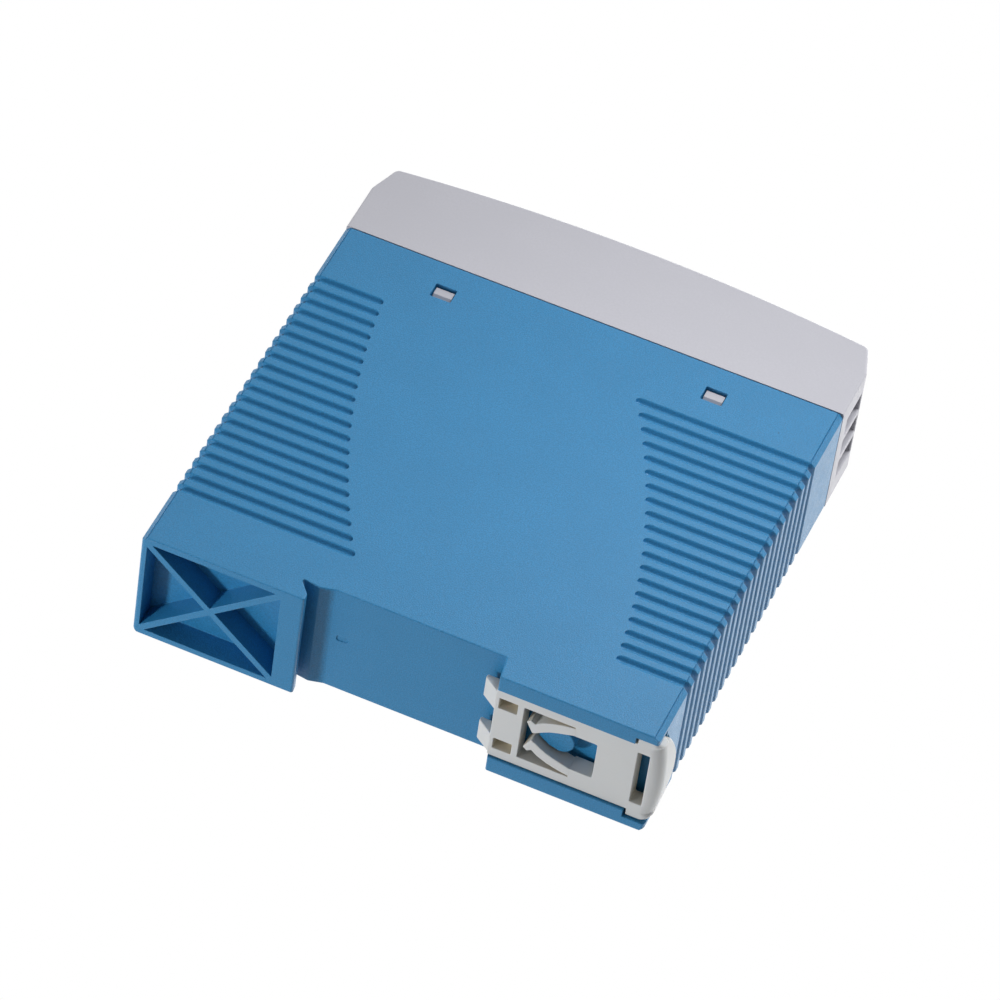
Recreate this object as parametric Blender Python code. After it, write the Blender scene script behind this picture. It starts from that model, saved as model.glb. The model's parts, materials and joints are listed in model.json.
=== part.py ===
"""Slim power supply that hangs on a 35 mm top-hat rail.

Use pose: +Z up, the front with its terminals faces -Y and the rail side faces +Y.  The origin
is the centre of the flat that rests on the rail.  Depths run forwards (towards -Y) from the
rearmost face, and "end" is +1 for the top end (output) and -1 for the bottom end (input).
"""
import math

import bmesh
import bpy
from mathutils import Matrix, Vector

MM = 0.001

# Driving dimensions of the case
WIDTH = 22.5 * MM
HEIGHT = 90.0 * MM
DEPTH = 100.0 * MM
RAIL_SEAT_DEPTH = 4.4 * MM
SEAM_DEPTH = 80.6 * MM
GAP = 0.3 * MM
OVERCUT = 1.0 * MM

# Case walls
SIDE_WALL = 1.7 * MM
END_WALL = 1.8 * MM
REAR_WALL = 1.7 * MM
EDGE_CHAMFER = 0.9 * MM
CAVITY_DEPTH = RAIL_SEAT_DEPTH + REAR_WALL
HALF_WIDTH = WIDTH / 2
HALF_HEIGHT = HEIGHT / 2
INNER_X = HALF_WIDTH - SIDE_WALL
INNER_Z = HALF_HEIGHT - END_WALL

# Fixed hook at the top of the rail slot
HOOK_TIP_Z = 16.4 * MM
HOOK_TIP_LAND = 1.4 * MM
HOOK_TIP_BEVEL = 0.5 * MM
NOTCH_Z = 18.8 * MM
NOTCH_DEPTH = 4.2 * MM
CREST_Z = 15.4 * MM
CREST_DEPTH = 3.7 * MM
CREST_FOOT_Z = 12.9 * MM
POCKET_DEPTH = 3.9 * MM
POCKET_X = 10.0 * MM
POCKET_Z = (20.4 * MM, 43.9 * MM)
RIB_WIDTH = 1.2 * MM

# Latch channel at the bottom of the rail slot
CHANNEL_WALL_Z = -17.5 * MM
CHANNEL_WALL_DRAFT = 0.7 * MM
CHANNEL_X = 8.0 * MM
CHANNEL_HEAD_X = 9.5 * MM
CHANNEL_HEAD_Z = -41.1 * MM
GUIDE_X = 9.7 * MM
GUIDE_DEPTH = (1.8 * MM, 3.9 * MM)
BOSS_DEPTH = 1.9 * MM
BOSS_Z = (-24.9 * MM, -30.9 * MM)
BOSS_HALF_WIDTH = 2.45 * MM

# Heat grooves
GROOVE_COUNT = 20
GROOVE_PITCH = 2.85 * MM
GROOVE_MID_DEPTH = 40.0 * MM
GROOVE_HALF_WIDTH = 0.68 * MM
GROOVE_CUT = 0.5 * MM
GROOVE_END_TAPER = ((0.0, 0.3, 0.6), (0.35, 0.8, 1.0), (1.0, 1.0, 1.0))
GROOVE_ARC_RADIUS = 143.0 * MM
GROOVE_ARC_Z = -109.0 * MM
GROOVE_ARC_DEPTH = 86.1 * MM

# Snap windows in the side panels
WINDOW_Z = 24.4 * MM
WINDOW_SIZE_Z = 3.8 * MM
WINDOW_DEPTH = (72.5 * MM, 75.6 * MM)

# Front cover
COVER_WALL = 1.5 * MM
COVER_SHOULDER_Z = 43.0 * MM
COVER_SHOULDER_DEPTH = 97.3 * MM
COVER_CORNER_DEPTH = 91.3 * MM
COVER_ARC_STEPS = 16
COVER_EDGE = 0.4 * MM
TONGUE_X = (8.2 * MM, 9.25 * MM)
TONGUE_HALF_WIDTH = 3.4 * MM
TONGUE_TIP_DEPTH = 71.6 * MM
TONGUE_ROOT_DEPTH = 82.0 * MM
TONGUE_TOP_DEPTH = 85.0 * MM
BARB_X = 10.5 * MM
WIRE_ENTRY_DEPTH = (84.0 * MM, 90.8 * MM)
WIRE_ENTRY_WIDTH = 3.8 * MM

# Latch
LATCH_FACE = 0.45 * MM
LATCH_BACK = 3.6 * MM
LATCH_X = 7.7 * MM
LATCH_HEAD_X = 9.2 * MM
LATCH_FLANGE_X = 9.4 * MM
LATCH_FLANGE_DEPTH = 2.1 * MM
LATCH_TOP_Z = -17.2 * MM
LATCH_HEAD_Z = -41.4 * MM
GRIP_TOP_Z = -44.4 * MM
GRIP_EDGE_Z = -45.7 * MM
GRIP_CROWN_Z = -46.2 * MM
GRIP_CORNER_DEPTH = 4.2 * MM
GRIP_DEPTH = 7.0 * MM
GRIP_X = 7.8 * MM
GRIP_STEPS = 8
NOSE_X = (2.95 * MM, 7.25 * MM)
NOSE_Z = -14.55 * MM
NOSE_DEPTH = (2.5 * MM, 3.2 * MM)
LATCH_WINDOW_X = 5.9 * MM
LATCH_WINDOW_Z = (-22.2 * MM, -31.0 * MM)
LATCH_THROAT_X = 3.95 * MM
LATCH_THROAT_Z = -35.0 * MM
LATCH_POCKET_X = (3.6 * MM, 5.95 * MM)
LATCH_POCKET_Z = (-17.9 * MM, -21.1 * MM)
LATCH_POCKET_DEPTH = 2.5 * MM
TOOL_SLOT_X = 5.9 * MM
TOOL_SLOT_Z = (-41.75 * MM, -43.8 * MM)
ARM_PIVOT = (4.85 * MM, -30.6 * MM)

# Circuit boards
MAIN_BOARD_X = (6.2 * MM, 7.8 * MM)
MAIN_BOARD_DEPTH = (7.0 * MM, 78.6 * MM)
FRONT_BOARD_DEPTH = (79.0 * MM, 80.6 * MM)
FRONT_BOARD_X = 7.9 * MM
BOARD_Z = 42.6 * MM
GUIDE_RIB_Z = 41.9 * MM
GUIDE_RIB = 1.0 * MM
GUIDE_TOP_DEPTH = 70.0 * MM
LEDGE_X = (-6.0 * MM, 3.0 * MM)
LEDGE_HEIGHT = 2.0 * MM
PART_SEAT_X = MAIN_BOARD_X[0] - GAP
SHEET_X = (8.6 * MM, 8.9 * MM)
SHEET_DEPTH = (8.0 * MM, 69.0 * MM)
HEADER_X = (2.6 * MM, MAIN_BOARD_X[0] - GAP)
HEADER_BACK_DEPTH = 74.6 * MM
HEADER_Z = 9.0 * MM
HEADER_PINS = 7
HEADER_PITCH = 2.54 * MM
HEADER_PIN_X = (1.8 * MM, 3.6 * MM)
HEADER_PIN_DEPTH = (76.2 * MM, 76.9 * MM)

# Terminals
POLE_PITCH = 5.08 * MM
POLES = (1, 2, 3)
POLE_Z = 37.5 * MM
BLOCK_X = 7.7 * MM
BLOCK_Z = (31.6 * MM, 43.0 * MM)
BLOCK_DEPTH = (FRONT_BOARD_DEPTH[1] + GAP, 95.3 * MM)
BLOCK_CORNER = (41.5 * MM, 91.5 * MM)
CLAMP_POCKET_DEPTH = (83.0 * MM, 92.2 * MM)
CLAMP_POCKET_X = 2.0 * MM
CLAMP_POCKET_Z = 33.4 * MM
SCREW_HEAD_RADIUS = 1.75 * MM
SCREW_HEAD_DEPTH = (93.4 * MM, 95.2 * MM)
SCREW_TIP_DEPTH = 88.1 * MM
SCREW_RADIUS = 1.25 * MM
SCREW_SHAFT_HOLE = 2.05 * MM
CLAMP_DEPTH = (83.3 * MM, 89.9 * MM)
CLAMP_X = 1.7 * MM
CLAMP_WALL = 0.4 * MM
CLAMP_FLOOR = 0.8 * MM
CLAMP_HEAD = 1.4 * MM
CLAMP_HALF_Z = 2.0 * MM
CLAMP_HOLE = 1.45 * MM
CONTACT_DEPTH = (87.0 * MM, 87.8 * MM)
CONTACT_X = 1.0 * MM
CONTACT_Z = (33.9 * MM, 40.4 * MM)
CONTACT_PIN = 0.8 * MM

# Front controls
LED_PLACE = (-4.5 * MM, 20.0 * MM)
TRIMMER_PLACE = (4.0 * MM, 20.0 * MM)
PIPE_RADIUS = 1.45 * MM
PIPE_DEPTH = (84.2 * MM, 99.3 * MM)
TRIMMER_HALF = 3.4 * MM
TRIMMER_TOP_DEPTH = 86.0 * MM
ROTOR_RADIUS = 1.9 * MM
ROTOR_DEPTH = (84.4 * MM, 86.6 * MM)


def y_at(depth):
    """World Y of a depth in front of the rearmost face."""
    return RAIL_SEAT_DEPTH - depth


def clear_scene():
    for old in list(bpy.data.objects):
        bpy.data.objects.remove(old, do_unlink=True)


def material(name, colour, roughness, metallic=0.0):
    made = bpy.data.materials.new(name)
    made.use_nodes = True
    shader = made.node_tree.nodes["Principled BSDF"]
    shader.inputs["Base Color"].default_value = (*colour, 1.0)
    shader.inputs["Roughness"].default_value = roughness
    shader.inputs["Metallic"].default_value = metallic
    made.diffuse_color = (*colour, 1.0)
    return made


def mesh_object(name, bm, origin=(0.0, 0.0, 0.0)):
    """Turn a bmesh in world space into an object whose origin is at the given point."""
    bmesh.ops.recalc_face_normals(bm, faces=bm.faces)
    bmesh.ops.translate(bm, verts=bm.verts, vec=-Vector(origin))
    mesh = bpy.data.meshes.new(name)
    bm.to_mesh(mesh)
    bm.free()
    made = bpy.data.objects.new(name, mesh)
    made.location = origin
    bpy.context.scene.collection.objects.link(made)
    return made


def piece(name, bm, finish, origin=(0.0, 0.0, 0.0), smooth=False):
    made = mesh_object(name, bm, origin)
    made.data.materials.append(finish)
    if smooth:
        made.data.shade_smooth()
        made.data.set_sharp_from_angle(angle=math.radians(35))
    return made


def combine(target, label, bm, operation="DIFFERENCE"):
    """Cut a closed shape from a piece, or join one to it."""
    tool = mesh_object(target.name + "_" + label + "_tool", bm)
    tool.hide_render = True
    tool.display_type = "WIRE"
    step = target.modifiers.new(label, "BOOLEAN")
    step.operation = operation
    step.solver = "EXACT"
    step.object = tool
    return tool


def add_box(bm, xs, depths, zs):
    """Box between two X values, two depths and two Z values, in any order."""
    ys = [y_at(depth) for depth in depths]
    centre = Vector((sum(xs) / 2, sum(ys) / 2, sum(zs) / 2))
    size = [abs(pair[1] - pair[0]) for pair in (xs, ys, zs)]
    matrix = Matrix.Translation(centre) @ Matrix.Diagonal((*size, 1.0))
    return bmesh.ops.create_cube(bm, size=1.0, matrix=matrix)["verts"]


def add_prism(bm, outline, place, near, far):
    """Closed prism: place(a, b, t) gives the point of outline (a, b) at sweep value t."""
    loops = [[bm.verts.new(place(a, b, t)) for a, b in outline] for t in (near, far)]
    bm.faces.new(loops[0])
    bm.faces.new(list(reversed(loops[1])))
    count = len(outline)
    for i in range(count):
        j = (i + 1) % count
        bm.faces.new((loops[0][j], loops[0][i], loops[1][i], loops[1][j]))
    return loops[0] + loops[1]


def across(z, depth, x):
    """A side-view outline (z, depth) swept along X."""
    return Vector((x, y_at(depth), z))


def through(x, z, depth):
    """A rear-view outline (x, z) swept along the depth."""
    return Vector((x, y_at(depth), z))


def add_rod(bm, start, end, radius, segments=20):
    start, end = Vector(start), Vector(end)
    turn = (end - start).to_track_quat("Z", "Y").to_matrix().to_4x4()
    matrix = Matrix.Translation((start + end) / 2) @ turn
    made = bmesh.ops.create_cone(bm, cap_ends=True, segments=segments, radius1=radius, radius2=radius,
                                 depth=(end - start).length, matrix=matrix)
    return made["verts"]


def add_turned(bm, centre, axis, profile, segments=20):
    """Solid of revolution: profile holds (radius, distance along the axis), radius 0 at both ends."""
    turn = Vector(axis).to_track_quat("Z", "Y").to_matrix().to_4x4()
    matrix = Matrix.Translation(centre) @ turn
    rings = []
    for radius, along in profile:
        if radius == 0.0:
            rings.append([bm.verts.new(matrix @ Vector((0.0, 0.0, along)))])
            continue
        angles = [2 * math.pi * k / segments for k in range(segments)]
        rings.append([bm.verts.new(matrix @ Vector((radius * math.cos(a), radius * math.sin(a), along)))
                      for a in angles])
    for lower, upper in zip(rings, rings[1:]):
        for k in range(segments):
            m = (k + 1) % segments
            below = [lower[k % len(lower)], lower[m % len(lower)]]
            above = [upper[m % len(upper)], upper[k % len(upper)]]
            bm.faces.new(list(dict.fromkeys(below + above)))


def add_sweep(bm, sections, closed=False):
    """Skin a list of equal-sized closed loops of points; open sweeps get end caps."""
    rings = [[bm.verts.new(point) for point in section] for section in sections]
    count = len(rings[0])
    pairs = list(zip(rings, rings[1:]))
    if closed:
        pairs.append((rings[-1], rings[0]))
    for near, far in pairs:
        for i in range(count):
            j = (i + 1) % count
            bm.faces.new((near[i], near[j], far[j], far[i]))
    if not closed:
        bm.faces.new(rings[0])
        bm.faces.new(list(reversed(rings[-1])))


def rounded_rectangle(half_a, half_b, radius, steps=4):
    """Counter-clockwise outline of a rectangle with round corners."""
    points = []
    for quarter, (sa, sb) in enumerate(((1, 1), (-1, 1), (-1, -1), (1, -1))):
        for k in range(steps + 1):
            angle = math.pi / 2 * (quarter + k / steps)
            points.append((sa * (half_a - radius) + radius * math.cos(angle),
                           sb * (half_b - radius) + radius * math.sin(angle)))
    return points


def bevel_edges(bm, test, width, segments=1):
    edges = [edge for edge in bm.edges if test(edge.verts[0].co, edge.verts[1].co)]
    bmesh.ops.bevel(bm, geom=edges, offset=width, segments=segments, affect="EDGES", profile=0.5)


# ---------------------------------------------------------------- case

def shell_block():
    """The solid outline of the shell with its rail slot, before it is hollowed."""
    outline = [
        (HALF_HEIGHT, SEAM_DEPTH),
        (-HALF_HEIGHT, SEAM_DEPTH),
        (-HALF_HEIGHT, 0.0),
        (CHANNEL_WALL_Z, 0.0),
        (CHANNEL_WALL_Z + CHANNEL_WALL_DRAFT, RAIL_SEAT_DEPTH),
        (CREST_FOOT_Z, RAIL_SEAT_DEPTH),
        (CREST_Z, CREST_DEPTH),
        (NOTCH_Z, NOTCH_DEPTH),
        (HOOK_TIP_Z + HOOK_TIP_BEVEL / 4, HOOK_TIP_LAND),
        (HOOK_TIP_Z, HOOK_TIP_BEVEL),
        (HOOK_TIP_Z + HOOK_TIP_BEVEL, 0.0),
        (HALF_HEIGHT, 0.0),
    ]
    bm = bmesh.new()
    add_prism(bm, outline, across, -HALF_WIDTH, HALF_WIDTH)

    def along_an_end_edge(a, b):
        at_end = min(abs(a.z), abs(b.z)) > HALF_HEIGHT - EDGE_CHAMFER / 10
        return at_end and abs(a.x - b.x) < EDGE_CHAMFER / 10 and abs(a.y - b.y) > EDGE_CHAMFER

    bevel_edges(bm, along_an_end_edge, EDGE_CHAMFER)
    return bm


def shell_cavity():
    bm = bmesh.new()
    add_box(bm, (-INNER_X, INNER_X), (CAVITY_DEPTH, SEAM_DEPTH + OVERCUT), (-INNER_Z, INNER_Z))
    return bm


def board_guides():
    """Ribs on the end walls that hold the main board, and the ledges under the front board."""
    bm = bmesh.new()
    overlap = END_WALL / 2
    for end in (-1, 1):
        zs = (end * GUIDE_RIB_Z, end * (INNER_Z + overlap))
        for x in (MAIN_BOARD_X[0] - GAP - GUIDE_RIB, MAIN_BOARD_X[1] + GAP):
            add_box(bm, (x, x + GUIDE_RIB), (CAVITY_DEPTH - overlap, GUIDE_TOP_DEPTH), zs)
        ledge_front = FRONT_BOARD_DEPTH[0] - GAP
        add_box(bm, LEDGE_X, (ledge_front - LEDGE_HEIGHT, ledge_front), zs)
    return bm


def channel_cutter():
    bm = bmesh.new()
    top = CHANNEL_WALL_Z + OVERCUT
    bottom = -HALF_HEIGHT - OVERCUT
    add_box(bm, (-CHANNEL_X, CHANNEL_X), (-OVERCUT, RAIL_SEAT_DEPTH), (top, bottom))
    return bm


def channel_guide_cutter(side):
    """Undercut in one side strip, which holds the latch's guide flange."""
    bm = bmesh.new()
    inside = side * (CHANNEL_X - OVERCUT)
    top = CHANNEL_WALL_Z + OVERCUT
    bottom = -HALF_HEIGHT - OVERCUT
    add_box(bm, (inside, side * GUIDE_X), GUIDE_DEPTH, (top, bottom))
    return bm


def channel_head_cutter(side):
    """Wider lower end of the channel, where the latch's head sits."""
    bm = bmesh.new()
    inside = side * (CHANNEL_X - OVERCUT / 2)
    add_box(bm, (inside, side * CHANNEL_HEAD_X), (-OVERCUT, GUIDE_DEPTH[1] - GAP),
            (CHANNEL_HEAD_Z, -HALF_HEIGHT - OVERCUT))
    return bm


def boss_outline(steps=8):
    """Lozenge that the spring arms close on: a blunt point at the top and a round lower end."""
    low = BOSS_Z[1] + BOSS_HALF_WIDTH
    right = [(0.5 * MM, BOSS_Z[0]), (1.15 * MM, BOSS_Z[0] - 0.7 * MM), (2.0 * MM, BOSS_Z[0] - 1.9 * MM)]
    for k in range(steps + 1):
        angle = math.pi / 2 * k / steps
        right.append((BOSS_HALF_WIDTH * math.cos(angle), low - BOSS_HALF_WIDTH * math.sin(angle)))
    left = [(-x, z) for x, z in reversed(right) if x > 0.01 * MM]
    return right + left


def boss():
    bm = bmesh.new()
    add_prism(bm, boss_outline(), through, BOSS_DEPTH, RAIL_SEAT_DEPTH + REAR_WALL / 2)
    return bm


def hook_pocket_cutter():
    """Four wedges that leave an X of ribs across the hook block's pocket."""
    low, high = POCKET_Z
    mid = (low + high) / 2
    half = (high - low) / 2
    slant = math.hypot(POCKET_X, half)
    shift_x = RIB_WIDTH / 2 * slant / half
    shift_z = RIB_WIDTH / 2 * slant / POCKET_X
    bm = bmesh.new()
    for side in (-1, 1):
        wedge = [(side * POCKET_X, mid + half - shift_z), (side * POCKET_X, mid - half + shift_z),
                 (side * shift_x, mid)]
        add_prism(bm, wedge, through, -OVERCUT, POCKET_DEPTH)
    for end in (-1, 1):
        wedge = [(POCKET_X - shift_x, mid + end * half), (-POCKET_X + shift_x, mid + end * half),
                 (0.0, mid + end * shift_z)]
        add_prism(bm, wedge, through, -OVERCUT, POCKET_DEPTH)
    return bm


def window_cutter():
    bm = bmesh.new()
    for side in (-1, 1):
        for end in (-1, 1):
            zs = (end * (WINDOW_Z - WINDOW_SIZE_Z / 2), end * (WINDOW_Z + WINDOW_SIZE_Z / 2))
            add_box(bm, (side * (INNER_X - OVERCUT), side * (HALF_WIDTH + OVERCUT)), WINDOW_DEPTH, zs)
    return bm


def groove_depth(index):
    return GROOVE_MID_DEPTH + GROOVE_PITCH * ((GROOVE_COUNT - 1) / 2 - index)


def groove_inner_z(depth):
    """Where a groove of the top end stops: the ends lie on one large arc."""
    reach = GROOVE_ARC_DEPTH - depth
    return GROOVE_ARC_Z + math.sqrt(GROOVE_ARC_RADIUS ** 2 - reach ** 2)


def groove_stations(inner_z, end):
    """Path of one groove round an end: (point, outward direction, width share, cut share)."""
    edge_x, edge_z = HALF_WIDTH, HALF_HEIGHT
    cut = EDGE_CHAMFER
    mitre = math.tan(math.pi / 8)
    run = []
    for back, width, share in GROOVE_END_TAPER:
        z = inner_z + back * GROOVE_HALF_WIDTH
        run.append(((-edge_x, z), (-1.0, 0.0), width, share))
    run.append(((-edge_x, edge_z - cut), (-1.0, mitre), 1.0, 1.0))
    run.append(((-edge_x + cut, edge_z), (-mitre, 1.0), 1.0, 1.0))
    mirrored = [((-x, z), (-nx, nz), width, share) for (x, z), (nx, nz), width, share in reversed(run)]
    return [((x, end * z), (nx, end * nz), width, share)
            for (x, z), (nx, nz), width, share in run + mirrored]


def add_groove(bm, depth, inner_z, end):
    section = [(-1.0, GAP), (-1.0, 0.0), (-0.55, -0.8 * GROOVE_CUT), (0.0, -GROOVE_CUT),
               (0.55, -0.8 * GROOVE_CUT), (1.0, 0.0), (1.0, GAP)]
    loops = []
    for (x, z), (nx, nz), width, cut_share in groove_stations(inner_z, end):
        loop = []
        for across_groove, height in section:
            rise = height * cut_share if height < 0.0 else height
            place = depth + across_groove * GROOVE_HALF_WIDTH * width
            loop.append(Vector((x + nx * rise, y_at(place), z + nz * rise)))
        loops.append(loop)
    add_sweep(bm, loops)


def groove_cutter():
    bm = bmesh.new()
    for index in range(GROOVE_COUNT):
        depth = groove_depth(index)
        opposite = 2 * GROOVE_MID_DEPTH - depth
        add_groove(bm, depth, groove_inner_z(depth), 1)
        add_groove(bm, depth, groove_inner_z(opposite), -1)
    return bm


def make_shell(finish):
    shell = piece("body_shell", shell_block(), finish)
    combine(shell, "cavity", shell_cavity())
    combine(shell, "guides", board_guides(), "UNION")
    combine(shell, "channel", channel_cutter())
    for side, label in ((-1, "left"), (1, "right")):
        combine(shell, label + "_guide", channel_guide_cutter(side))
        combine(shell, label + "_head", channel_head_cutter(side))
    combine(shell, "boss", boss(), "UNION")
    combine(shell, "grip_bed", grip_recess())
    combine(shell, "pocket", hook_pocket_cutter())
    combine(shell, "windows", window_cutter())
    combine(shell, "grooves", groove_cutter())


# ---------------------------------------------------------------- front cover

def cover_front_depth(z, inset=0.0):
    """Depth of the bowed front at a height, or of its inside face."""
    sagitta = DEPTH - COVER_SHOULDER_DEPTH
    radius = (COVER_SHOULDER_Z ** 2 + sagitta ** 2) / (2 * sagitta)
    return DEPTH - radius + math.sqrt(radius ** 2 - z ** 2) - inset


def cover_outline(inset, rear_depth):
    shoulder = COVER_SHOULDER_Z - inset * 0.8
    wall = HALF_HEIGHT - inset
    points = [(wall, rear_depth), (wall, COVER_CORNER_DEPTH - inset * 0.2)]
    for k in range(COVER_ARC_STEPS + 1):
        z = shoulder * (1 - 2 * k / COVER_ARC_STEPS)
        points.append((z, cover_front_depth(z, inset)))
    points += [(-wall, COVER_CORNER_DEPTH - inset * 0.2), (-wall, rear_depth)]
    return points


def cover_block():
    bm = bmesh.new()
    add_prism(bm, cover_outline(0.0, SEAM_DEPTH + GAP), across, -HALF_WIDTH, HALF_WIDTH)

    def round_the_front(a, b):
        on_side = min(abs(a.x), abs(b.x)) > HALF_WIDTH - COVER_EDGE / 10 and a.x * b.x > 0
        rear = y_at(SEAM_DEPTH + GAP)
        return on_side and min(a.y, b.y) < rear - COVER_EDGE

    bevel_edges(bm, round_the_front, COVER_EDGE)
    return bm


def cover_hollow():
    bm = bmesh.new()
    inner_x = HALF_WIDTH - COVER_WALL
    add_prism(bm, cover_outline(COVER_WALL, SEAM_DEPTH - OVERCUT), across, -inner_x, inner_x)
    return bm


def tongue(side, end):
    """Snap tongue with its barb, joined to the side wall of the cover by a root block."""
    bm = bmesh.new()
    inner, outer = (side * x for x in TONGUE_X)
    root_x = side * (HALF_WIDTH - COVER_WALL / 2)
    middle = end * WINDOW_Z
    barb_half = WINDOW_SIZE_Z / 2 - GAP
    barb_low, barb_high = WINDOW_DEPTH[0] + GAP, WINDOW_DEPTH[1] - GAP
    outline = [
        (inner, TONGUE_TIP_DEPTH),
        (outer, TONGUE_TIP_DEPTH),
        (outer, TONGUE_ROOT_DEPTH),
        (root_x, TONGUE_ROOT_DEPTH),
        (root_x, TONGUE_TOP_DEPTH),
        (inner, TONGUE_TOP_DEPTH),
    ]

    def stand(x, depth, z):
        return Vector((x, y_at(depth), z))

    add_prism(bm, outline, stand, middle - TONGUE_HALF_WIDTH, middle + TONGUE_HALF_WIDTH)
    barb = bmesh.new()
    add_box(barb, (outer - side * GAP, side * BARB_X), (barb_low, barb_high),
            (middle - barb_half, middle + barb_half))
    return bm, barb


def wire_entry_cutter():
    bm = bmesh.new()
    half = WIRE_ENTRY_WIDTH / 2
    for end in (-1, 1):
        for x in pole_places():
            add_box(bm, (x - half, x + half), WIRE_ENTRY_DEPTH,
                    (end * (HALF_HEIGHT + OVERCUT), end * (HALF_HEIGHT - COVER_WALL - OVERCUT / 4)))
    return bm


def front_hole_cutter():
    bm = bmesh.new()
    near, far = y_at(DEPTH + OVERCUT), y_at(DEPTH - 6.0 * MM)
    holes = [(x, end * POLE_Z, SCREW_HEAD_RADIUS + GAP) for end in (-1, 1) for x in pole_places()]
    holes.append((*LED_PLACE, PIPE_RADIUS + GAP))
    holes.append((*TRIMMER_PLACE, ROTOR_RADIUS + GAP))
    for x, z, radius in holes:
        add_rod(bm, (x, near, z), (x, far, z), radius)
    return bm


def make_cover(finish):
    cover = piece("front_cover", cover_block(), finish)
    combine(cover, "hollow", cover_hollow())
    for side, side_name in ((-1, "left"), (1, "right")):
        for end, end_name in ((-1, "bottom"), (1, "top")):
            label = side_name + "_" + end_name
            blade, barb = tongue(side, end)
            combine(cover, label + "_tongue", blade, "UNION")
            combine(cover, label + "_barb", barb, "UNION")
    combine(cover, "wire_entries", wire_entry_cutter())
    combine(cover, "front_holes", front_hole_cutter())


# ---------------------------------------------------------------- rail latch

def latch_plate():
    bm = bmesh.new()
    outline = [
        (LATCH_X, LATCH_TOP_Z),
        (-LATCH_X, LATCH_TOP_Z),
        (-LATCH_X, LATCH_HEAD_Z),
        (-LATCH_HEAD_X, LATCH_HEAD_Z),
        (-LATCH_HEAD_X, GRIP_TOP_Z),
        (-GRIP_X, GRIP_EDGE_Z),
        (GRIP_X, GRIP_EDGE_Z),
        (LATCH_HEAD_X, GRIP_TOP_Z),
        (LATCH_HEAD_X, LATCH_HEAD_Z),
        (LATCH_X, LATCH_HEAD_Z),
    ]
    add_prism(bm, outline, through, LATCH_FACE, LATCH_BACK - GAP)
    return bm


def latch_flanges():
    bm = bmesh.new()
    add_box(bm, (-LATCH_FLANGE_X, LATCH_FLANGE_X), (LATCH_FLANGE_DEPTH, LATCH_BACK),
            (LATCH_TOP_Z - 1.0 * MM, LATCH_HEAD_Z + 1.0 * MM))
    return bm


def latch_nose(side):
    """Ramped nose that snaps over the lower edge of the rail."""
    bm = bmesh.new()
    root = LATCH_TOP_Z - 1.0 * MM
    outline = [(root, LATCH_FACE + GAP / 3), (LATCH_TOP_Z, LATCH_FACE + GAP / 3), (NOSE_Z, NOSE_DEPTH[0]),
               (NOSE_Z, NOSE_DEPTH[1]), (root, NOSE_DEPTH[1])]
    add_prism(bm, outline, across, side * NOSE_X[0], side * NOSE_X[1])
    return bm


def bow(half_width, edge, middle, steps=GRIP_STEPS):
    """Points (x, value) of a shallow arc that reaches edge at both sides and middle at X = 0."""
    points = []
    for k in range(steps + 1):
        share = 2 * k / steps - 1
        points.append((half_width * share, middle + (edge - middle) * share ** 2))
    return points


def grip_plan(margin=0.0):
    """Tongue of the grip seen from below, as (x, depth)."""
    half = GRIP_X + margin
    return [(half, -margin), (-half, -margin)] + bow(half, GRIP_CORNER_DEPTH + margin, GRIP_DEPTH + margin)


def flat_lay(x, depth, z):
    return Vector((x, y_at(depth), z))


def grip_recess():
    """Shallow bed for the grip in the bottom wall of the shell."""
    bm = bmesh.new()
    plan = [(x, depth if depth > 0.0 else -OVERCUT) for x, depth in grip_plan(GAP)]
    add_prism(bm, plan, flat_lay, GRIP_TOP_Z + GAP, -HALF_HEIGHT - OVERCUT)
    return bm


def add_grip(latch):
    """Finger grip that wraps forwards along the bottom face, crowned across its width."""
    bm = bmesh.new()
    crown = [(GRIP_X, GRIP_TOP_Z), (-GRIP_X, GRIP_TOP_Z)] + bow(GRIP_X, GRIP_EDGE_Z, GRIP_CROWN_Z)
    add_prism(bm, crown, through, LATCH_FACE + GAP, GRIP_DEPTH + OVERCUT)
    grip = combine(latch, "grip", bm, "UNION")
    bm = bmesh.new()
    add_prism(bm, grip_plan(), flat_lay, GRIP_TOP_Z + OVERCUT, GRIP_CROWN_Z - OVERCUT)
    combine(grip, "plan", bm, "INTERSECT")


def latch_window_cutter():
    outline = [
        (-LATCH_WINDOW_X, LATCH_WINDOW_Z[0]),
        (-LATCH_WINDOW_X, LATCH_WINDOW_Z[1]),
        (-LATCH_THROAT_X, LATCH_WINDOW_Z[1]),
        (-LATCH_THROAT_X, LATCH_THROAT_Z),
        (LATCH_THROAT_X, LATCH_THROAT_Z),
        (LATCH_THROAT_X, LATCH_WINDOW_Z[1]),
        (LATCH_WINDOW_X, LATCH_WINDOW_Z[1]),
        (LATCH_WINDOW_X, LATCH_WINDOW_Z[0]),
    ]
    bm = bmesh.new()
    add_prism(bm, outline, through, LATCH_FACE - OVERCUT, LATCH_BACK + OVERCUT)
    return bm


def latch_small_cutter():
    bm = bmesh.new()
    for side in (-1, 1):
        pocket_x = [side * x for x in LATCH_POCKET_X]
        add_box(bm, pocket_x, (LATCH_FACE - OVERCUT, LATCH_POCKET_DEPTH), LATCH_POCKET_Z)
    add_box(bm, (-TOOL_SLOT_X, TOOL_SLOT_X), (LATCH_FACE - OVERCUT, LATCH_BACK + OVERCUT), TOOL_SLOT_Z)
    return bm


def make_latch(finish):
    latch = piece("din_latch", latch_plate(), finish)
    combine(latch, "flanges", latch_flanges(), "UNION")
    combine(latch, "left_nose", latch_nose(-1), "UNION")
    combine(latch, "right_nose", latch_nose(1), "UNION")
    add_grip(latch)
    combine(latch, "window", latch_window_cutter())
    combine(latch, "openings", latch_small_cutter())


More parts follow.
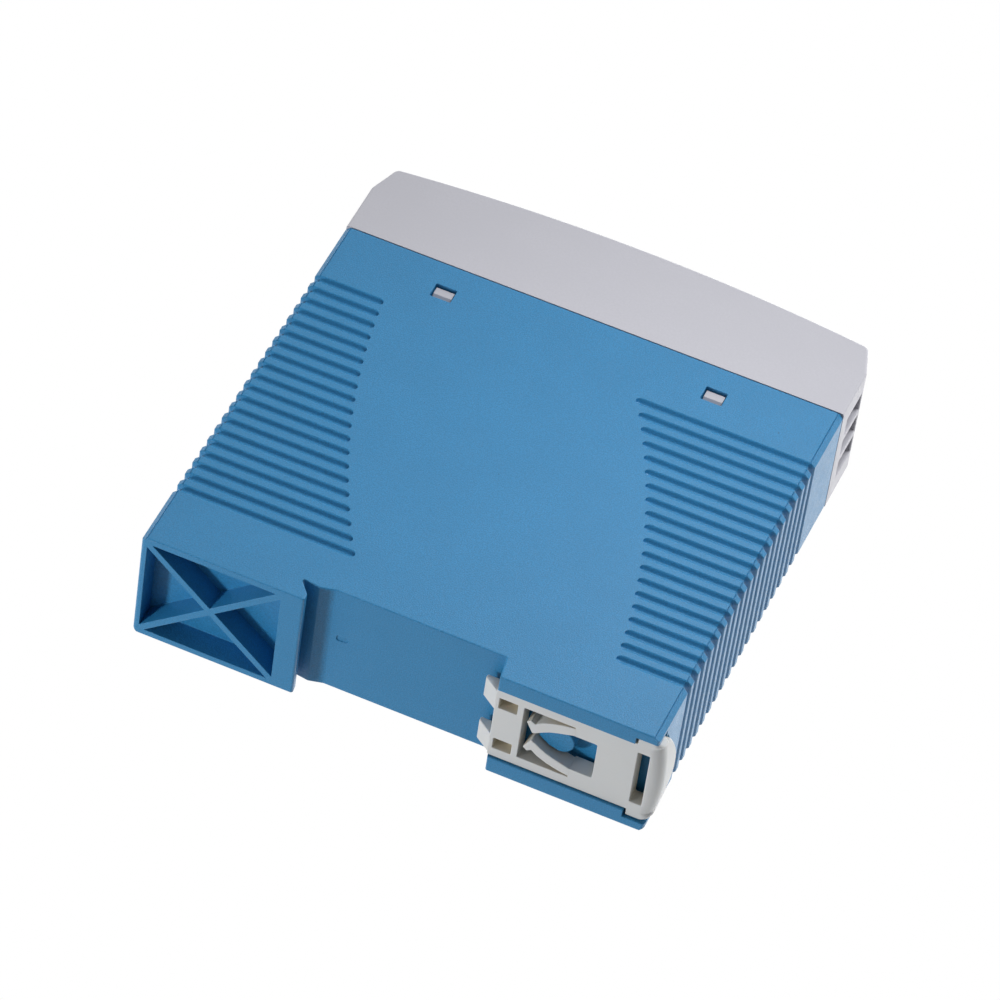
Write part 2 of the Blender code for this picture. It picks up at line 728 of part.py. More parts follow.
def arm_outline(side):
    """Curved spring arm with a barbed tip, from the tip back to its root and round."""
    inner = [(0.8, 24.1), (1.25, 24.9), (1.95, 25.9), (2.55, 26.95), (3.05, 28.2), (3.5, 29.6), (3.9, 30.7)]
    outer = [(5.6, 30.7), (5.35, 29.2), (4.75, 27.2), (3.95, 25.5), (3.1, 24.4), (3.6, 23.6), (3.0, 22.9)]
    return [(side * x * MM, -z * MM) for x, z in inner + outer]


def make_spring_arms(finish):
    for side, name in ((-1, "latch_spring_arm_left"), (1, "latch_spring_arm_right")):
        bm = bmesh.new()
        add_prism(bm, arm_outline(side), through, LATCH_FACE, LATCH_BACK - GAP)
        piece(name, bm, finish, origin=(side * ARM_PIVOT[0], y_at(2.0 * MM), ARM_PIVOT[1]))


# ---------------------------------------------------------------- boards

def make_boards(board_finish, sheet_finish, header_finish):
    bm = bmesh.new()
    add_box(bm, MAIN_BOARD_X, MAIN_BOARD_DEPTH, (-BOARD_Z, BOARD_Z))
    piece("main_circuit_board", bm, board_finish)
    bm = bmesh.new()
    add_box(bm, (-FRONT_BOARD_X, FRONT_BOARD_X), FRONT_BOARD_DEPTH, (-BOARD_Z, BOARD_Z))
    piece("front_circuit_board", bm, board_finish)
    bm = bmesh.new()
    add_box(bm, SHEET_X, SHEET_DEPTH, (-GUIDE_RIB_Z + GAP, GUIDE_RIB_Z - GAP))
    piece("insulation_sheet", bm, sheet_finish)
    bm = bmesh.new()
    add_box(bm, HEADER_X, (HEADER_BACK_DEPTH, FRONT_BOARD_DEPTH[0] - GAP), (-HEADER_Z, HEADER_Z))
    header = piece("board_link_header", bm, header_finish)
    bm = bmesh.new()
    for k in range(HEADER_PINS):
        z = (k - (HEADER_PINS - 1) / 2) * HEADER_PITCH
        add_box(bm, HEADER_PIN_X, HEADER_PIN_DEPTH, (z - GAP, z + GAP))
    combine(header, "pins", bm, "UNION")


# ---------------------------------------------------------------- terminals

def pole_places():
    return [(pole - 2) * POLE_PITCH for pole in POLES]


def make_terminal_block(name, end, finish):
    outline = [
        (BLOCK_Z[0], BLOCK_DEPTH[0]),
        (BLOCK_Z[1], BLOCK_DEPTH[0]),
        (BLOCK_Z[1], BLOCK_CORNER[1]),
        (BLOCK_CORNER[0], BLOCK_DEPTH[1]),
        (BLOCK_Z[0], BLOCK_DEPTH[1]),
    ]
    bm = bmesh.new()
    add_prism(bm, [(end * z, depth) for z, depth in outline], across, -BLOCK_X, BLOCK_X)
    block = piece(name, bm, finish)
    pockets = bmesh.new()
    shafts = bmesh.new()
    slots = bmesh.new()
    for x in pole_places():
        add_box(pockets, (x - CLAMP_POCKET_X, x + CLAMP_POCKET_X), CLAMP_POCKET_DEPTH,
                (end * CLAMP_POCKET_Z, end * (BLOCK_Z[1] + OVERCUT)))
        add_rod(shafts, (x, y_at(CLAMP_POCKET_DEPTH[1] - OVERCUT), end * POLE_Z),
                (x, y_at(BLOCK_DEPTH[1] + OVERCUT), end * POLE_Z), SCREW_SHAFT_HOLE)
        add_box(slots, (x - CONTACT_X, x + CONTACT_X),
                (BLOCK_DEPTH[0] - OVERCUT, CLAMP_POCKET_DEPTH[0] + OVERCUT),
                (end * (CONTACT_Z[0] - GAP), end * (CONTACT_Z[0] + CONTACT_PIN + GAP)))
    combine(block, "pockets", pockets)
    combine(block, "shafts", shafts)
    combine(block, "pin_slots", slots)


def make_screw(name, x, end, finish):
    """Slotted captive screw; its axis runs front to rear."""
    z = end * POLE_Z
    origin = (x, y_at(SCREW_HEAD_DEPTH[1]), z)
    length = SCREW_HEAD_DEPTH[1] - SCREW_TIP_DEPTH
    head = SCREW_HEAD_DEPTH[1] - SCREW_HEAD_DEPTH[0]
    profile = [(0.0, 0.0), (SCREW_HEAD_RADIUS - GAP / 2, 0.0), (SCREW_HEAD_RADIUS, GAP / 2),
               (SCREW_HEAD_RADIUS, head), (SCREW_RADIUS, head), (SCREW_RADIUS, length - GAP),
               (SCREW_RADIUS - GAP, length), (0.0, length)]
    bm = bmesh.new()
    add_turned(bm, origin, (0.0, 1.0, 0.0), profile)
    screw = piece(name, bm, finish, origin=origin, smooth=True)
    bm = bmesh.new()
    half_slot = 0.3 * MM
    add_box(bm, (x - SCREW_HEAD_RADIUS * 2, x + SCREW_HEAD_RADIUS * 2),
            (SCREW_HEAD_DEPTH[1] + OVERCUT, SCREW_HEAD_DEPTH[1] - 0.7 * MM), (z - half_slot, z + half_slot))
    combine(screw, "slot", bm)


def make_clamp(name, x, end, finish):
    """Rising cage: a square tube open along Z, with the screw's hole in its front wall."""
    z = end * POLE_Z
    zs = (z - CLAMP_HALF_Z, z + CLAMP_HALF_Z)
    bm = bmesh.new()
    add_box(bm, (x - CLAMP_X, x + CLAMP_X), CLAMP_DEPTH, zs)
    clamp = piece(name, bm, finish, origin=(x, y_at(CLAMP_DEPTH[0]), z))
    inner = CLAMP_X - CLAMP_WALL
    bm = bmesh.new()
    add_box(bm, (x - inner, x + inner), (CLAMP_DEPTH[0] + CLAMP_FLOOR, CLAMP_DEPTH[1] - CLAMP_HEAD),
            (zs[0] - OVERCUT, zs[1] + OVERCUT))
    combine(clamp, "wire_way", bm)
    bm = bmesh.new()
    add_rod(bm, (x, y_at(CLAMP_DEPTH[1] + OVERCUT), z), (x, y_at(CLAMP_DEPTH[1] - CLAMP_HEAD - OVERCUT), z),
            CLAMP_HOLE)
    combine(clamp, "screw_hole", bm)


def make_contact(name, x, end, finish):
    """Tongue the wire is pressed against, bent down to a pin for the front board."""
    outline = [
        (CONTACT_Z[0], CONTACT_DEPTH[1]),
        (CONTACT_Z[1], CONTACT_DEPTH[1]),
        (CONTACT_Z[1], CONTACT_DEPTH[0]),
        (CONTACT_Z[0] + CONTACT_PIN, CONTACT_DEPTH[0]),
        (CONTACT_Z[0] + CONTACT_PIN, BLOCK_DEPTH[0]),
        (CONTACT_Z[0], BLOCK_DEPTH[0]),
    ]
    half = CONTACT_X - GAP
    bm = bmesh.new()
    add_prism(bm, [(end * z, depth) for z, depth in outline], across, x - half, x + half)
    piece(name, bm, finish)


def make_terminals(block_finish, screw_finish, clamp_finish, contact_finish):
    for end, side in ((-1, "input"), (1, "output")):
        make_terminal_block(side + "_terminal_block", end, block_finish)
        for pole, x in zip(POLES, pole_places()):
            make_screw(side + "_screw_" + str(pole), x, end, screw_finish)
            make_clamp(side + "_clamp_" + str(pole), x, end, clamp_finish)
            make_contact(side + "_contact_" + str(pole), x, end, contact_finish)


# ---------------------------------------------------------------- front controls

def make_front_controls(body_finish, rotor_finish, led_finish, pipe_finish):
    x, z = TRIMMER_PLACE
    board_face = BLOCK_DEPTH[0]
    bm = bmesh.new()
    add_box(bm, (x - TRIMMER_HALF, x + TRIMMER_HALF), (board_face, TRIMMER_TOP_DEPTH),
            (z - TRIMMER_HALF, z + TRIMMER_HALF))
    trimmer = piece("output_trimmer", bm, body_finish)
    bm = bmesh.new()
    add_rod(bm, (x, y_at(ROTOR_DEPTH[0] - GAP), z), (x, y_at(TRIMMER_TOP_DEPTH + OVERCUT), z),
            ROTOR_RADIUS + GAP)
    combine(trimmer, "rotor_well", bm)

    origin = (x, y_at(ROTOR_DEPTH[1]), z)
    height = ROTOR_DEPTH[1] - ROTOR_DEPTH[0]
    profile = [(0.0, 0.0), (ROTOR_RADIUS - GAP, 0.0), (ROTOR_RADIUS, GAP), (ROTOR_RADIUS, height),
               (0.0, height)]
    bm = bmesh.new()
    add_turned(bm, origin, (0.0, 1.0, 0.0), profile)
    rotor = piece("trimmer_rotor", bm, rotor_finish, origin=origin, smooth=True)
    bm = bmesh.new()
    half_slot = 0.35 * MM
    slot_length = 1.3 * MM
    add_box(bm, (x - slot_length, x + slot_length), (ROTOR_DEPTH[1] + OVERCUT, ROTOR_DEPTH[1] - 0.7 * MM),
            (z - half_slot, z + half_slot))
    combine(rotor, "slot", bm)

    x, z = LED_PLACE
    profile = [(0.0, 0.0), (1.9 * MM, 0.0), (1.9 * MM, 1.0 * MM), (1.5 * MM, 1.0 * MM), (1.5 * MM, 1.8 * MM),
               (1.3 * MM, 2.3 * MM), (0.8 * MM, 2.7 * MM), (0.0, 2.85 * MM)]
    bm = bmesh.new()
    add_turned(bm, (x, y_at(board_face), z), (0.0, -1.0, 0.0), profile)
    piece("status_led", bm, led_finish, smooth=True)

    length = PIPE_DEPTH[1] - PIPE_DEPTH[0]
    collar = DEPTH - COVER_WALL - 2.4 * MM - PIPE_DEPTH[0]
    profile = [(0.0, 0.0), (PIPE_RADIUS, 0.0), (PIPE_RADIUS, collar), (PIPE_RADIUS + 0.8 * MM, collar),
               (PIPE_RADIUS + 0.8 * MM, collar + 1.0 * MM), (PIPE_RADIUS, collar + 1.0 * MM),
               (PIPE_RADIUS, length - GAP), (PIPE_RADIUS - GAP, length), (0.0, length)]
    bm = bmesh.new()
    add_turned(bm, (x, y_at(PIPE_DEPTH[0]), z), (0.0, -1.0, 0.0), profile)
    piece("led_light_pipe", bm, pipe_finish, smooth=True)


# ---------------------------------------------------------------- power parts on the main board

def seat(height):
    """X range of a part of the given height standing on the main board."""
    return (PART_SEAT_X - height, PART_SEAT_X)


def add_disc(bm, depth, z, radius, thickness, rise=0.6 * MM):
    """Lacquered disc standing on the board with its axis along Z."""
    x = PART_SEAT_X - rise - radius
    half = thickness / 2
    profile = [(0.0, -half), (radius * 0.8, -half), (radius, -half * 0.4), (radius, half * 0.4),
               (radius * 0.8, half), (0.0, half)]
    add_turned(bm, (x, y_at(depth), z), (0.0, 0.0, 1.0), profile)


def add_can(bm, base, axis, radius, length):
    """Electrolytic capacitor can with its rolled groove near the base."""
    neck = radius * 0.93
    profile = [(0.0, 0.0), (radius * 0.95, 0.0), (radius, 0.4 * MM), (radius, 1.6 * MM), (neck, 2.1 * MM),
               (radius, 2.6 * MM), (radius, length - 0.5 * MM), (radius - 0.5 * MM, length), (0.0, length)]
    add_turned(bm, base, axis, profile, segments=24)


def make_input_parts(finishes):
    bm = bmesh.new()
    add_turned(bm, (PART_SEAT_X, y_at(72.0 * MM), -37.0 * MM), (-1.0, 0.0, 0.0),
               [(0.0, 0.0), (4.0 * MM, 0.0), (4.2 * MM, 0.3 * MM), (4.2 * MM, 7.2 * MM), (3.8 * MM, 7.7 * MM),
                (0.0, 7.7 * MM)])
    piece("fuse", bm, finishes["dark_plastic"], smooth=True)

    bm = bmesh.new()
    add_disc(bm, 61.0 * MM, -39.3 * MM, 5.0 * MM, 3.6 * MM)
    piece("varistor", bm, finishes["blue_lacquer"], smooth=True)

    bm = bmesh.new()
    add_disc(bm, 71.5 * MM, -27.0 * MM, 3.6 * MM, 3.0 * MM)
    piece("thermistor", bm, finishes["dark_plastic"], smooth=True)

    bm = bmesh.new()
    add_disc(bm, 65.0 * MM, -9.0 * MM, 4.0 * MM, 3.2 * MM)
    piece("y_capacitor", bm, finishes["blue_lacquer"], smooth=True)

    bm = bmesh.new()
    add_box(bm, seat(11.0 * MM), (41.0 * MM, 54.0 * MM), (-41.2 * MM, -35.4 * MM))
    piece("x_capacitor", bm, finishes["yellow_plastic"])

    bm = bmesh.new()
    add_box(bm, seat(10.0 * MM), (22.0 * MM, 36.0 * MM), (-41.0 * MM, -37.4 * MM))
    piece("bridge_rectifier", bm, finishes["dark_plastic"])

    bm = bmesh.new()
    radius, length = 7.2 * MM, 26.0 * MM
    add_can(bm, (PART_SEAT_X - radius, y_at(9.0 * MM), -29.4 * MM), (0.0, -1.0, 0.0), radius, length)
    piece("bulk_capacitor", bm, finishes["black_sleeve"], smooth=True)


def make_choke(core_finish, wire_finish):
    """Toroid lying flat on the board, with one winding wrapped over part of the ring."""
    centre_depth, centre_z = 58.5 * MM, -25.5 * MM
    mean_radius, core_half, core_height = 5.2 * MM, 1.5 * MM, 4.2 * MM
    mid_x = PART_SEAT_X - 4.2 * MM

    def ring_section(angle, half_radial, half_height):
        points = []
        for radial, rise in ((1, 1), (-1, 1), (-1, -1), (1, -1)):
            r = mean_radius + radial * half_radial
            points.append(Vector((mid_x + rise * half_height, y_at(centre_depth + r * math.cos(angle)),
                                  centre_z + r * math.sin(angle))))
        return points

    segments = 28
    bm = bmesh.new()
    add_sweep(bm, [ring_section(2 * math.pi * k / segments, core_half, core_height / 2)
                   for k in range(segments)], closed=True)
    piece("choke_core", bm, core_finish, smooth=True)

    cover = 0.3 * MM
    wire = 1.0 * MM
    start, sweep, steps = math.radians(40), math.radians(280), 20
    bm = bmesh.new()
    rings = []
    for k in range(steps + 1):
        angle = start + sweep * k / steps
        ring = []
        for space in (cover + wire, cover):
            ring.append([bm.verts.new(p) for p in ring_section(angle, core_half + space, core_height / 2 + space)])
        rings.append(ring)
    for (outer_a, inner_a), (outer_b, inner_b) in zip(rings, rings[1:]):
        for i in range(4):
            j = (i + 1) % 4
            bm.faces.new((outer_a[i], outer_a[j], outer_b[j], outer_b[i]))
            bm.faces.new((inner_a[j], inner_a[i], inner_b[i], inner_b[j]))
    for outer, inner in (rings[0], rings[-1]):
        for i in range(4):
            j = (i + 1) % 4
            bm.faces.new((outer[i], outer[j], inner[j], inner[i]))
    piece("choke_winding", bm, wire_finish, smooth=True)


def make_transformer(core_finish, bobbin_finish, wire_finish):
    """Double-E core round a bobbin whose winding axis runs along Z."""
    mid_x, mid_depth = PART_SEAT_X - 7.4 * MM, 47.0 * MM
    core_x, core_depth, core_z = 3.6 * MM, 10.0 * MM, 9.0 * MM
    leg, side_leg, yoke = 2.6 * MM, 2.6 * MM, 2.7 * MM

    def box(bm, half_x, depth_low, depth_high, z_low, z_high):
        add_box(bm, (mid_x - half_x, mid_x + half_x), (mid_depth + depth_low, mid_depth + depth_high),
                (z_low, z_high))

    bm = bmesh.new()
    box(bm, core_x, -core_depth, core_depth, -core_z, core_z)
    core = piece("transformer_core", bm, core_finish)
    bm = bmesh.new()
    inside = core_z - yoke
    for side in (-1, 1):
        near, far = sorted((side * leg, side * (core_depth - side_leg)))
        box(bm, core_x + OVERCUT, near, far, -inside, inside)
    combine(core, "windows", bm)

    tube_x, tube_depth, wall = core_x + GAP, leg + GAP, 0.6 * MM
    flange_x, flange_depth = 7.2 * MM, core_depth - side_leg - GAP
    flange_z, flange = inside - GAP, 0.8 * MM
    bm = bmesh.new()
    box(bm, tube_x + wall, -tube_depth - wall, tube_depth + wall, -flange_z, flange_z)
    bobbin = piece("transformer_bobbin", bm, bobbin_finish)
    bm = bmesh.new()
    box(bm, flange_x, -flange_depth, flange_depth, flange_z - flange, flange_z)
    box(bm, flange_x, -flange_depth, flange_depth, -flange_z, -flange_z + flange)
    combine(bobbin, "flanges", bm, "UNION")
    bm = bmesh.new()
    box(bm, tube_x, -tube_depth, tube_depth, -core_z, core_z)
    combine(bobbin, "leg_hole", bm)

    coil_z = flange_z - flange - GAP
    outer = rounded_rectangle(flange_x - 0.4 * MM, flange_depth - 0.4 * MM, 2.4 * MM)
    bm = bmesh.new()

    def stack(a, b, z):
        return Vector((mid_x + a, y_at(mid_depth + b), z))

    add_prism(bm, outer, stack, -coil_z, coil_z)
    winding = piece("transformer_winding", bm, wire_finish)
    bm = bmesh.new()
    box(bm, tube_x + wall + GAP, -tube_depth - wall - GAP, tube_depth + wall + GAP, -core_z, core_z)
    combine(winding, "bobbin_hole", bm)


def make_heat_sink(sink_name, part_name, z, facing, sink_finish, part_finish):
    """Upright plate with fins on its outer face; the power part is screwed to its inner face."""
    plate = 1.6 * MM
    height = 14.0 * MM
    depths = (10.0 * MM, 33.0 * MM)
    zs = sorted((z, z + facing * plate))
    bm = bmesh.new()
    add_box(bm, seat(height), depths, zs)
    sink = piece(sink_name, bm, sink_finish)
    bm = bmesh.new()
    fin, count = 1.0 * MM, 5
    for k in range(count):
        depth = depths[0] + (depths[1] - depths[0] - fin) * k / (count - 1)
        root = z + facing * plate / 2
        add_box(bm, seat(height), (depth, depth + fin), sorted((root, z + facing * (plate + 2.2 * MM))))
    combine(sink, "fins", bm, "UNION")

    body = 4.4 * MM
    near = z - facing * GAP
    bm = bmesh.new()
    add_box(bm, (PART_SEAT_X - 11.0 * MM, PART_SEAT_X - 3.0 * MM), (17.0 * MM, 27.0 * MM),
            sorted((near, near - facing * body)))
    part = piece(part_name, bm, part_finish)
    bm = bmesh.new()
    for k in range(3):
        depth = (22.0 + 2.54 * (k - 1)) * MM
        add_box(bm, (PART_SEAT_X - 4.0 * MM, PART_SEAT_X), (depth - GAP, depth + GAP),
                sorted((near - facing * 2.0 * MM, near - facing * 2.6 * MM)))
    combine(part, "leads", bm, "UNION")


def make_output_parts(finishes):
    for index, z in enumerate((23.0 * MM, 35.5 * MM)):
        bm = bmesh.new()
        add_can(bm, (PART_SEAT_X, y_at(47.0 * MM), z), (-1.0, 0.0, 0.0), 5.0 * MM, 14.4 * MM)
        piece("output_capacitor_" + str(index + 1), bm, finishes["black_sleeve"], smooth=True)

    centre = (PART_SEAT_X, y_at(62.0 * MM), 30.0 * MM)
    flange_radius, core_radius, height, flange = 5.2 * MM, 2.2 * MM, 11.0 * MM, 1.2 * MM
    profile = [(0.0, 0.0), (flange_radius, 0.0), (flange_radius, flange), (core_radius, flange),
               (core_radius, height - flange), (flange_radius, height - flange), (flange_radius, height),
               (0.0, height)]
    bm = bmesh.new()
    add_turned(bm, centre, (-1.0, 0.0, 0.0), profile)
    piece("output_inductor_core", bm, finishes["ferrite"], smooth=True)

    segments = 24
    near, far = flange + GAP, height - flange - GAP
    inside, outside = core_radius + GAP, flange_radius - GAP
    bm = bmesh.new()
    sections = []
    for k in range(segments):
        angle = 2 * math.pi * k / segments
        section = []
        for radius, along in ((inside, near), (outside, near), (outside, far), (inside, far)):
            section.append(Vector((centre[0] - along, centre[1] + radius * math.cos(angle),
                                   centre[2] + radius * math.sin(angle))))
        sections.append(section)
    add_sweep(bm, sections, closed=True)
    piece("output_inductor_winding", bm, finishes["copper_wire"], smooth=True)

    bm = bmesh.new()
    add_box(bm, seat(3.6 * MM), (61.0 * MM, 67.4 * MM), (3.0 * MM, 7.6 * MM))
    piece("optocoupler", bm, finishes["dark_plastic"])
    bm = bmesh.new()
    add_box(bm, seat(3.6 * MM), (14.0 * MM, 23.8 * MM), (-3.2 * MM, 3.2 * MM))
    piece("control_chip", bm, finishes["dark_plastic"])


def main():
    clear_scene()
    blue = material("blue_shell", (0.089, 0.285, 0.509), 0.48)
    grey = material("grey_cover", (0.55, 0.56, 0.59), 0.5)
    ivory = material("latch_plastic", (0.5, 0.5, 0.49), 0.5)
    board = material("board_laminate", (0.03, 0.16, 0.06), 0.45)
    sheet = material("insulation_film", (0.75, 0.74, 0.66), 0.35)
    block = material("terminal_plastic", (0.05, 0.12, 0.07), 0.5)
    steel = material("plated_steel", (0.62, 0.62, 0.6), 0.32, 1.0)
    tin = material("tinned_brass", (0.68, 0.66, 0.6), 0.3, 1.0)
    aluminium = material("aluminium", (0.66, 0.67, 0.68), 0.4, 1.0)
    cream = material("cream_plastic", (0.72, 0.68, 0.56), 0.5)
    green = material("led_lens", (0.1, 0.5, 0.15), 0.2)
    clear = material("clear_pipe", (0.8, 0.82, 0.82), 0.1)
    finishes = {
        "dark_plastic": material("dark_plastic", (0.03, 0.03, 0.032), 0.45),
        "blue_lacquer": material("blue_lacquer", (0.05, 0.16, 0.4), 0.3),
        "yellow_plastic": material("yellow_plastic", (0.7, 0.5, 0.08), 0.45),
        "black_sleeve": material("black_sleeve", (0.025, 0.027, 0.035), 0.3),
        "ferrite": material("ferrite", (0.05, 0.048, 0.047), 0.55),
        "copper_wire": material("copper_wire", (0.62, 0.25, 0.09), 0.3, 0.8),
    }
    make_shell(blue)
    make_cover(grey)
    make_latch(ivory)
    make_spring_arms(ivory)
    make_boards(board, sheet, finishes["dark_plastic"])
    make_terminals(block, steel, steel, tin)
    make_front_controls(finishes["blue_lacquer"], cream, green, clear)
    make_input_parts(finishes)
    make_choke(finishes["ferrite"], finishes["copper_wire"])
    make_transformer(finishes["ferrite"], finishes["dark_plastic"], finishes["yellow_plastic"])
    dark = finishes["dark_plastic"]
    make_heat_sink("transistor_heat_sink", "switching_transistor", -14.6 * MM, 1, aluminium, dark)
    make_heat_sink("rectifier_heat_sink", "output_rectifier", 19.0 * MM, -1, aluminium, dark)
    make_output_parts(finishes)


main()
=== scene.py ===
"""Looks of a slim rail-mounted power supply, built round its CAD frame.

Lengths are millimetres until a point is made. Depths run forwards (towards -Y) from the rearmost
face of the case, and "end" is +1 for the top end and -1 for the bottom end.
"""
import json
import math

import bmesh
import bpy
from mathutils import Matrix, Vector

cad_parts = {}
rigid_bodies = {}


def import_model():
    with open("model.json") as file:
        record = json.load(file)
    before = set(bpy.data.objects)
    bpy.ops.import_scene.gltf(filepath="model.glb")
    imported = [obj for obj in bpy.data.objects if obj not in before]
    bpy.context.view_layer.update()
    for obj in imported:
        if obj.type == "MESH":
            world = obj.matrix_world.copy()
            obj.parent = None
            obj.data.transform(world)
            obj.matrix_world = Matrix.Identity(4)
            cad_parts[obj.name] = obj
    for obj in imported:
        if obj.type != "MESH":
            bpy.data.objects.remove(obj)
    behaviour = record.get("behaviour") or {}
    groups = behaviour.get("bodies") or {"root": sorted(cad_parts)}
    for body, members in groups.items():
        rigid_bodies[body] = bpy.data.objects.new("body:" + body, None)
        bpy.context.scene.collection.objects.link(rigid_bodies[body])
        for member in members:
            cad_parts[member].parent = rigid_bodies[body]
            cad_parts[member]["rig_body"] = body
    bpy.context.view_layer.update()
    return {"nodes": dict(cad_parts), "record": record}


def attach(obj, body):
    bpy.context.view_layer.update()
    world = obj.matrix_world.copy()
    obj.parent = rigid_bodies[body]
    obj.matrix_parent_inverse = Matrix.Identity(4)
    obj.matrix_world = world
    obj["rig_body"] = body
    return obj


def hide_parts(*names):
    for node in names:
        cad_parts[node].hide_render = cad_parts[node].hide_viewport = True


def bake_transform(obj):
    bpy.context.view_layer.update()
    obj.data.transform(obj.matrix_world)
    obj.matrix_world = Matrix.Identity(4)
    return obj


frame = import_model()

MM = 0.001
SLOT_FLOOR = 4.4                # depth of the rail slot's floor, which is the record's Y = 0
HALF_X, HALF_Z = 11.25, 45.0    # half width and half height of the case
SEAM = 80.6                     # depth where the case ends and the cover starts
GAP = 0.3                       # clearance round the grip
OVER = 1.0                      # how far a cutter sticks out of the body it cuts
ARC_STEP = 15.0                 # degrees per step of a rounded corner
WELD = 0.001                    # vertices nearer than this after the cuts become one
STRAIGHT = 10.0                 # degrees; a vertex that bends an edge by less is needless

INNER_X, INNER_Z = 9.55, 43.2   # half sizes of the case's hollow
BACK_WALL = 6.1                 # depth where that hollow starts
END_CUT = 0.9                   # width of the chamfers between side panels and end faces
POCKET_CUT = 4.3                # depth of the hook block's pocket

GROOVES = 20                    # heat grooves at each end of a side panel
GROOVE_PITCH = 2.85
GROOVE_MIDDLE = 39.9            # depth of the middle of the row
GROOVE_HALF = 0.98              # half width of a groove
GROOVE_CUT = 0.66               # its depth on the side panels
END_GROOVE = 1.35               # the same on the end faces, as a share of GROOVE_CUT

WINDOW_Z = 24.4                 # height of the snap windows above and below the middle
POLES = (-5.08, 0.0, 5.08)      # X of the three terminals at each end
SCREW_Z, SCREW_TOP = 37.5, 95.2    # height, and depth of the head's top
LIGHT_PIPE = (-4.5, 20.0)       # X and Z
TRIMMER = (4.0, 20.0)           # X and Z

FACE, BACK = 0.45, 3.3          # depths of the latch plate's two faces
GRIP_HALF = 7.8                 # half width of the grip's bowed lip
GRIP_FRONT, GRIP_BOW = 7.0, 2.8    # depth of its front edge at mid width, and that edge's bow

NODES = frame["nodes"]


# ---------------------------------------------------------------- mesh helpers

def at(x, depth, z):
    return Vector((x * MM, (SLOT_FLOOR - depth) * MM, z * MM))


def side_view(z, depth, x):
    """Place a point of an outline that is seen from the side."""
    return at(x, depth, z)


def rear_view(x, z, depth):
    """Place a point of an outline that is seen from behind."""
    return at(x, depth, z)


def end_view(x, depth, z):
    """Place a point of an outline that is seen from the top or bottom end."""
    return at(x, depth, z)


def shaped(points, by=0.0):
    """Outline of (a, b, corner radius) points, moved outwards by a distance, with round corners."""
    points = [tuple(p) + (0.0,) * (3 - len(p)) for p in points]
    area = sum(p[0] * q[1] - q[0] * p[1] for p, q in zip(points, points[1:] + points[:1]))
    if area < 0:
        points = points[::-1]
    out = []
    count = len(points)
    for i, (a, b, radius) in enumerate(points):
        here = Vector((a, b))
        one = (here - Vector(points[i - 1][:2])).normalized()
        two = (Vector(points[(i + 1) % count][:2]) - here).normalized()
        n1, n2 = Vector((one.y, -one.x)), Vector((two.y, -two.x))
        corner = here + (n1 + n2) / max(0.3, 1.0 + n1.dot(n2)) * by
        turn = math.atan2(one.x * two.y - one.y * two.x, one.dot(two))
        if radius <= 0.0 or abs(turn) < 0.02:
            out.append(tuple(corner))
            continue
        radius = max(0.02, radius + by if turn > 0 else radius - by)
        start = corner - one * radius * math.tan(abs(turn) / 2)
        side = 1.0 if turn > 0 else -1.0
        centre = start - n1 * radius * side
        steps = max(2, math.ceil(abs(math.degrees(turn)) / ARC_STEP))
        for k in range(steps + 1):
            arm = Matrix.Rotation(turn * k / steps, 2) @ (start - centre)
            out.append(tuple(centre + arm))
    return out


def skin(bm, loops):
    """Skin equal-sized loops of points into a body with flat ends."""
    rings = [[bm.verts.new(p) for p in loop] for loop in loops]
    count = len(rings[0])
    for near, far in zip(rings, rings[1:]):
        for i in range(count):
            j = (i + 1) % count
            bm.faces.new((near[i], near[j], far[j], far[i]))
    bm.faces.new(rings[0])
    bm.faces.new(rings[-1][::-1])


def rounding(start, inwards, radius, steps=3, sign=-1):
    """Levels (offset, position) of a rounded rim that starts at a position; sign +1 flares it."""
    levels = []
    for k in range(steps + 1):
        angle = math.pi / 2 * k / steps
        levels.append((sign * radius * (1 - math.sin(angle)),
                       start + inwards * radius * (1 - math.cos(angle))))
    return levels


def slab(bm, outline, place, near, far, near_r=0.0, far_r=0.0, steps=3):
    """Prism between two positions with rounded rims."""
    inwards = 1.0 if far > near else -1.0
    levels = rounding(near, inwards, near_r, steps) if near_r else [(0.0, near)]
    levels += rounding(far, -inwards, far_r, steps)[::-1] if far_r else [(0.0, far)]
    skin(bm, [[place(a, b, t) for a, b in shaped(outline, o)] for o, t in levels])


def hollow(bm, outline, place, top, bottom, flare):
    """Cutter that starts above a face at "top", flares at the rim and ends at "bottom"."""
    inwards = 1.0 if bottom > top else -1.0
    levels = [(flare, top - inwards * OVER)] + rounding(top, inwards, flare, 3, 1) + [(0.0, bottom)]
    skin(bm, [[place(a, b, t) for a, b in shaped(outline, o)] for o, t in levels])


def box(bm, xs, depths, zs):
    """Block between pairs of X, depth and Z values."""
    outline = [(xs[0], zs[0]), (xs[1], zs[0]), (xs[1], zs[1]), (xs[0], zs[1])]
    slab(bm, outline, rear_view, min(depths), max(depths))


def turned(bm, centre, axis, profile, segments=48):
    """Solid of revolution from (radius, distance) pairs; the radius is 0 at both ends."""
    matrix = Matrix.Translation(centre) @ Vector(axis).to_track_quat("Z", "Y").to_matrix().to_4x4()
    rings = []
    for radius, along in profile:
        if radius == 0.0:
            rings.append([bm.verts.new(matrix @ Vector((0.0, 0.0, along * MM)))])
            continue
        ring = []
        for k in range(segments):
            angle = 2 * math.pi * k / segments
            ring.append(bm.verts.new(matrix @ Vector((radius * math.cos(angle) * MM,
                                                      radius * math.sin(angle) * MM, along * MM))))
        rings.append(ring)
    for low, high in zip(rings, rings[1:]):
        for k in range(segments):
            m = (k + 1) % segments
            corners = [low[k % len(low)], low[m % len(low)], high[m % len(high)], high[k % len(high)]]
            bm.faces.new(list(dict.fromkeys(corners)))


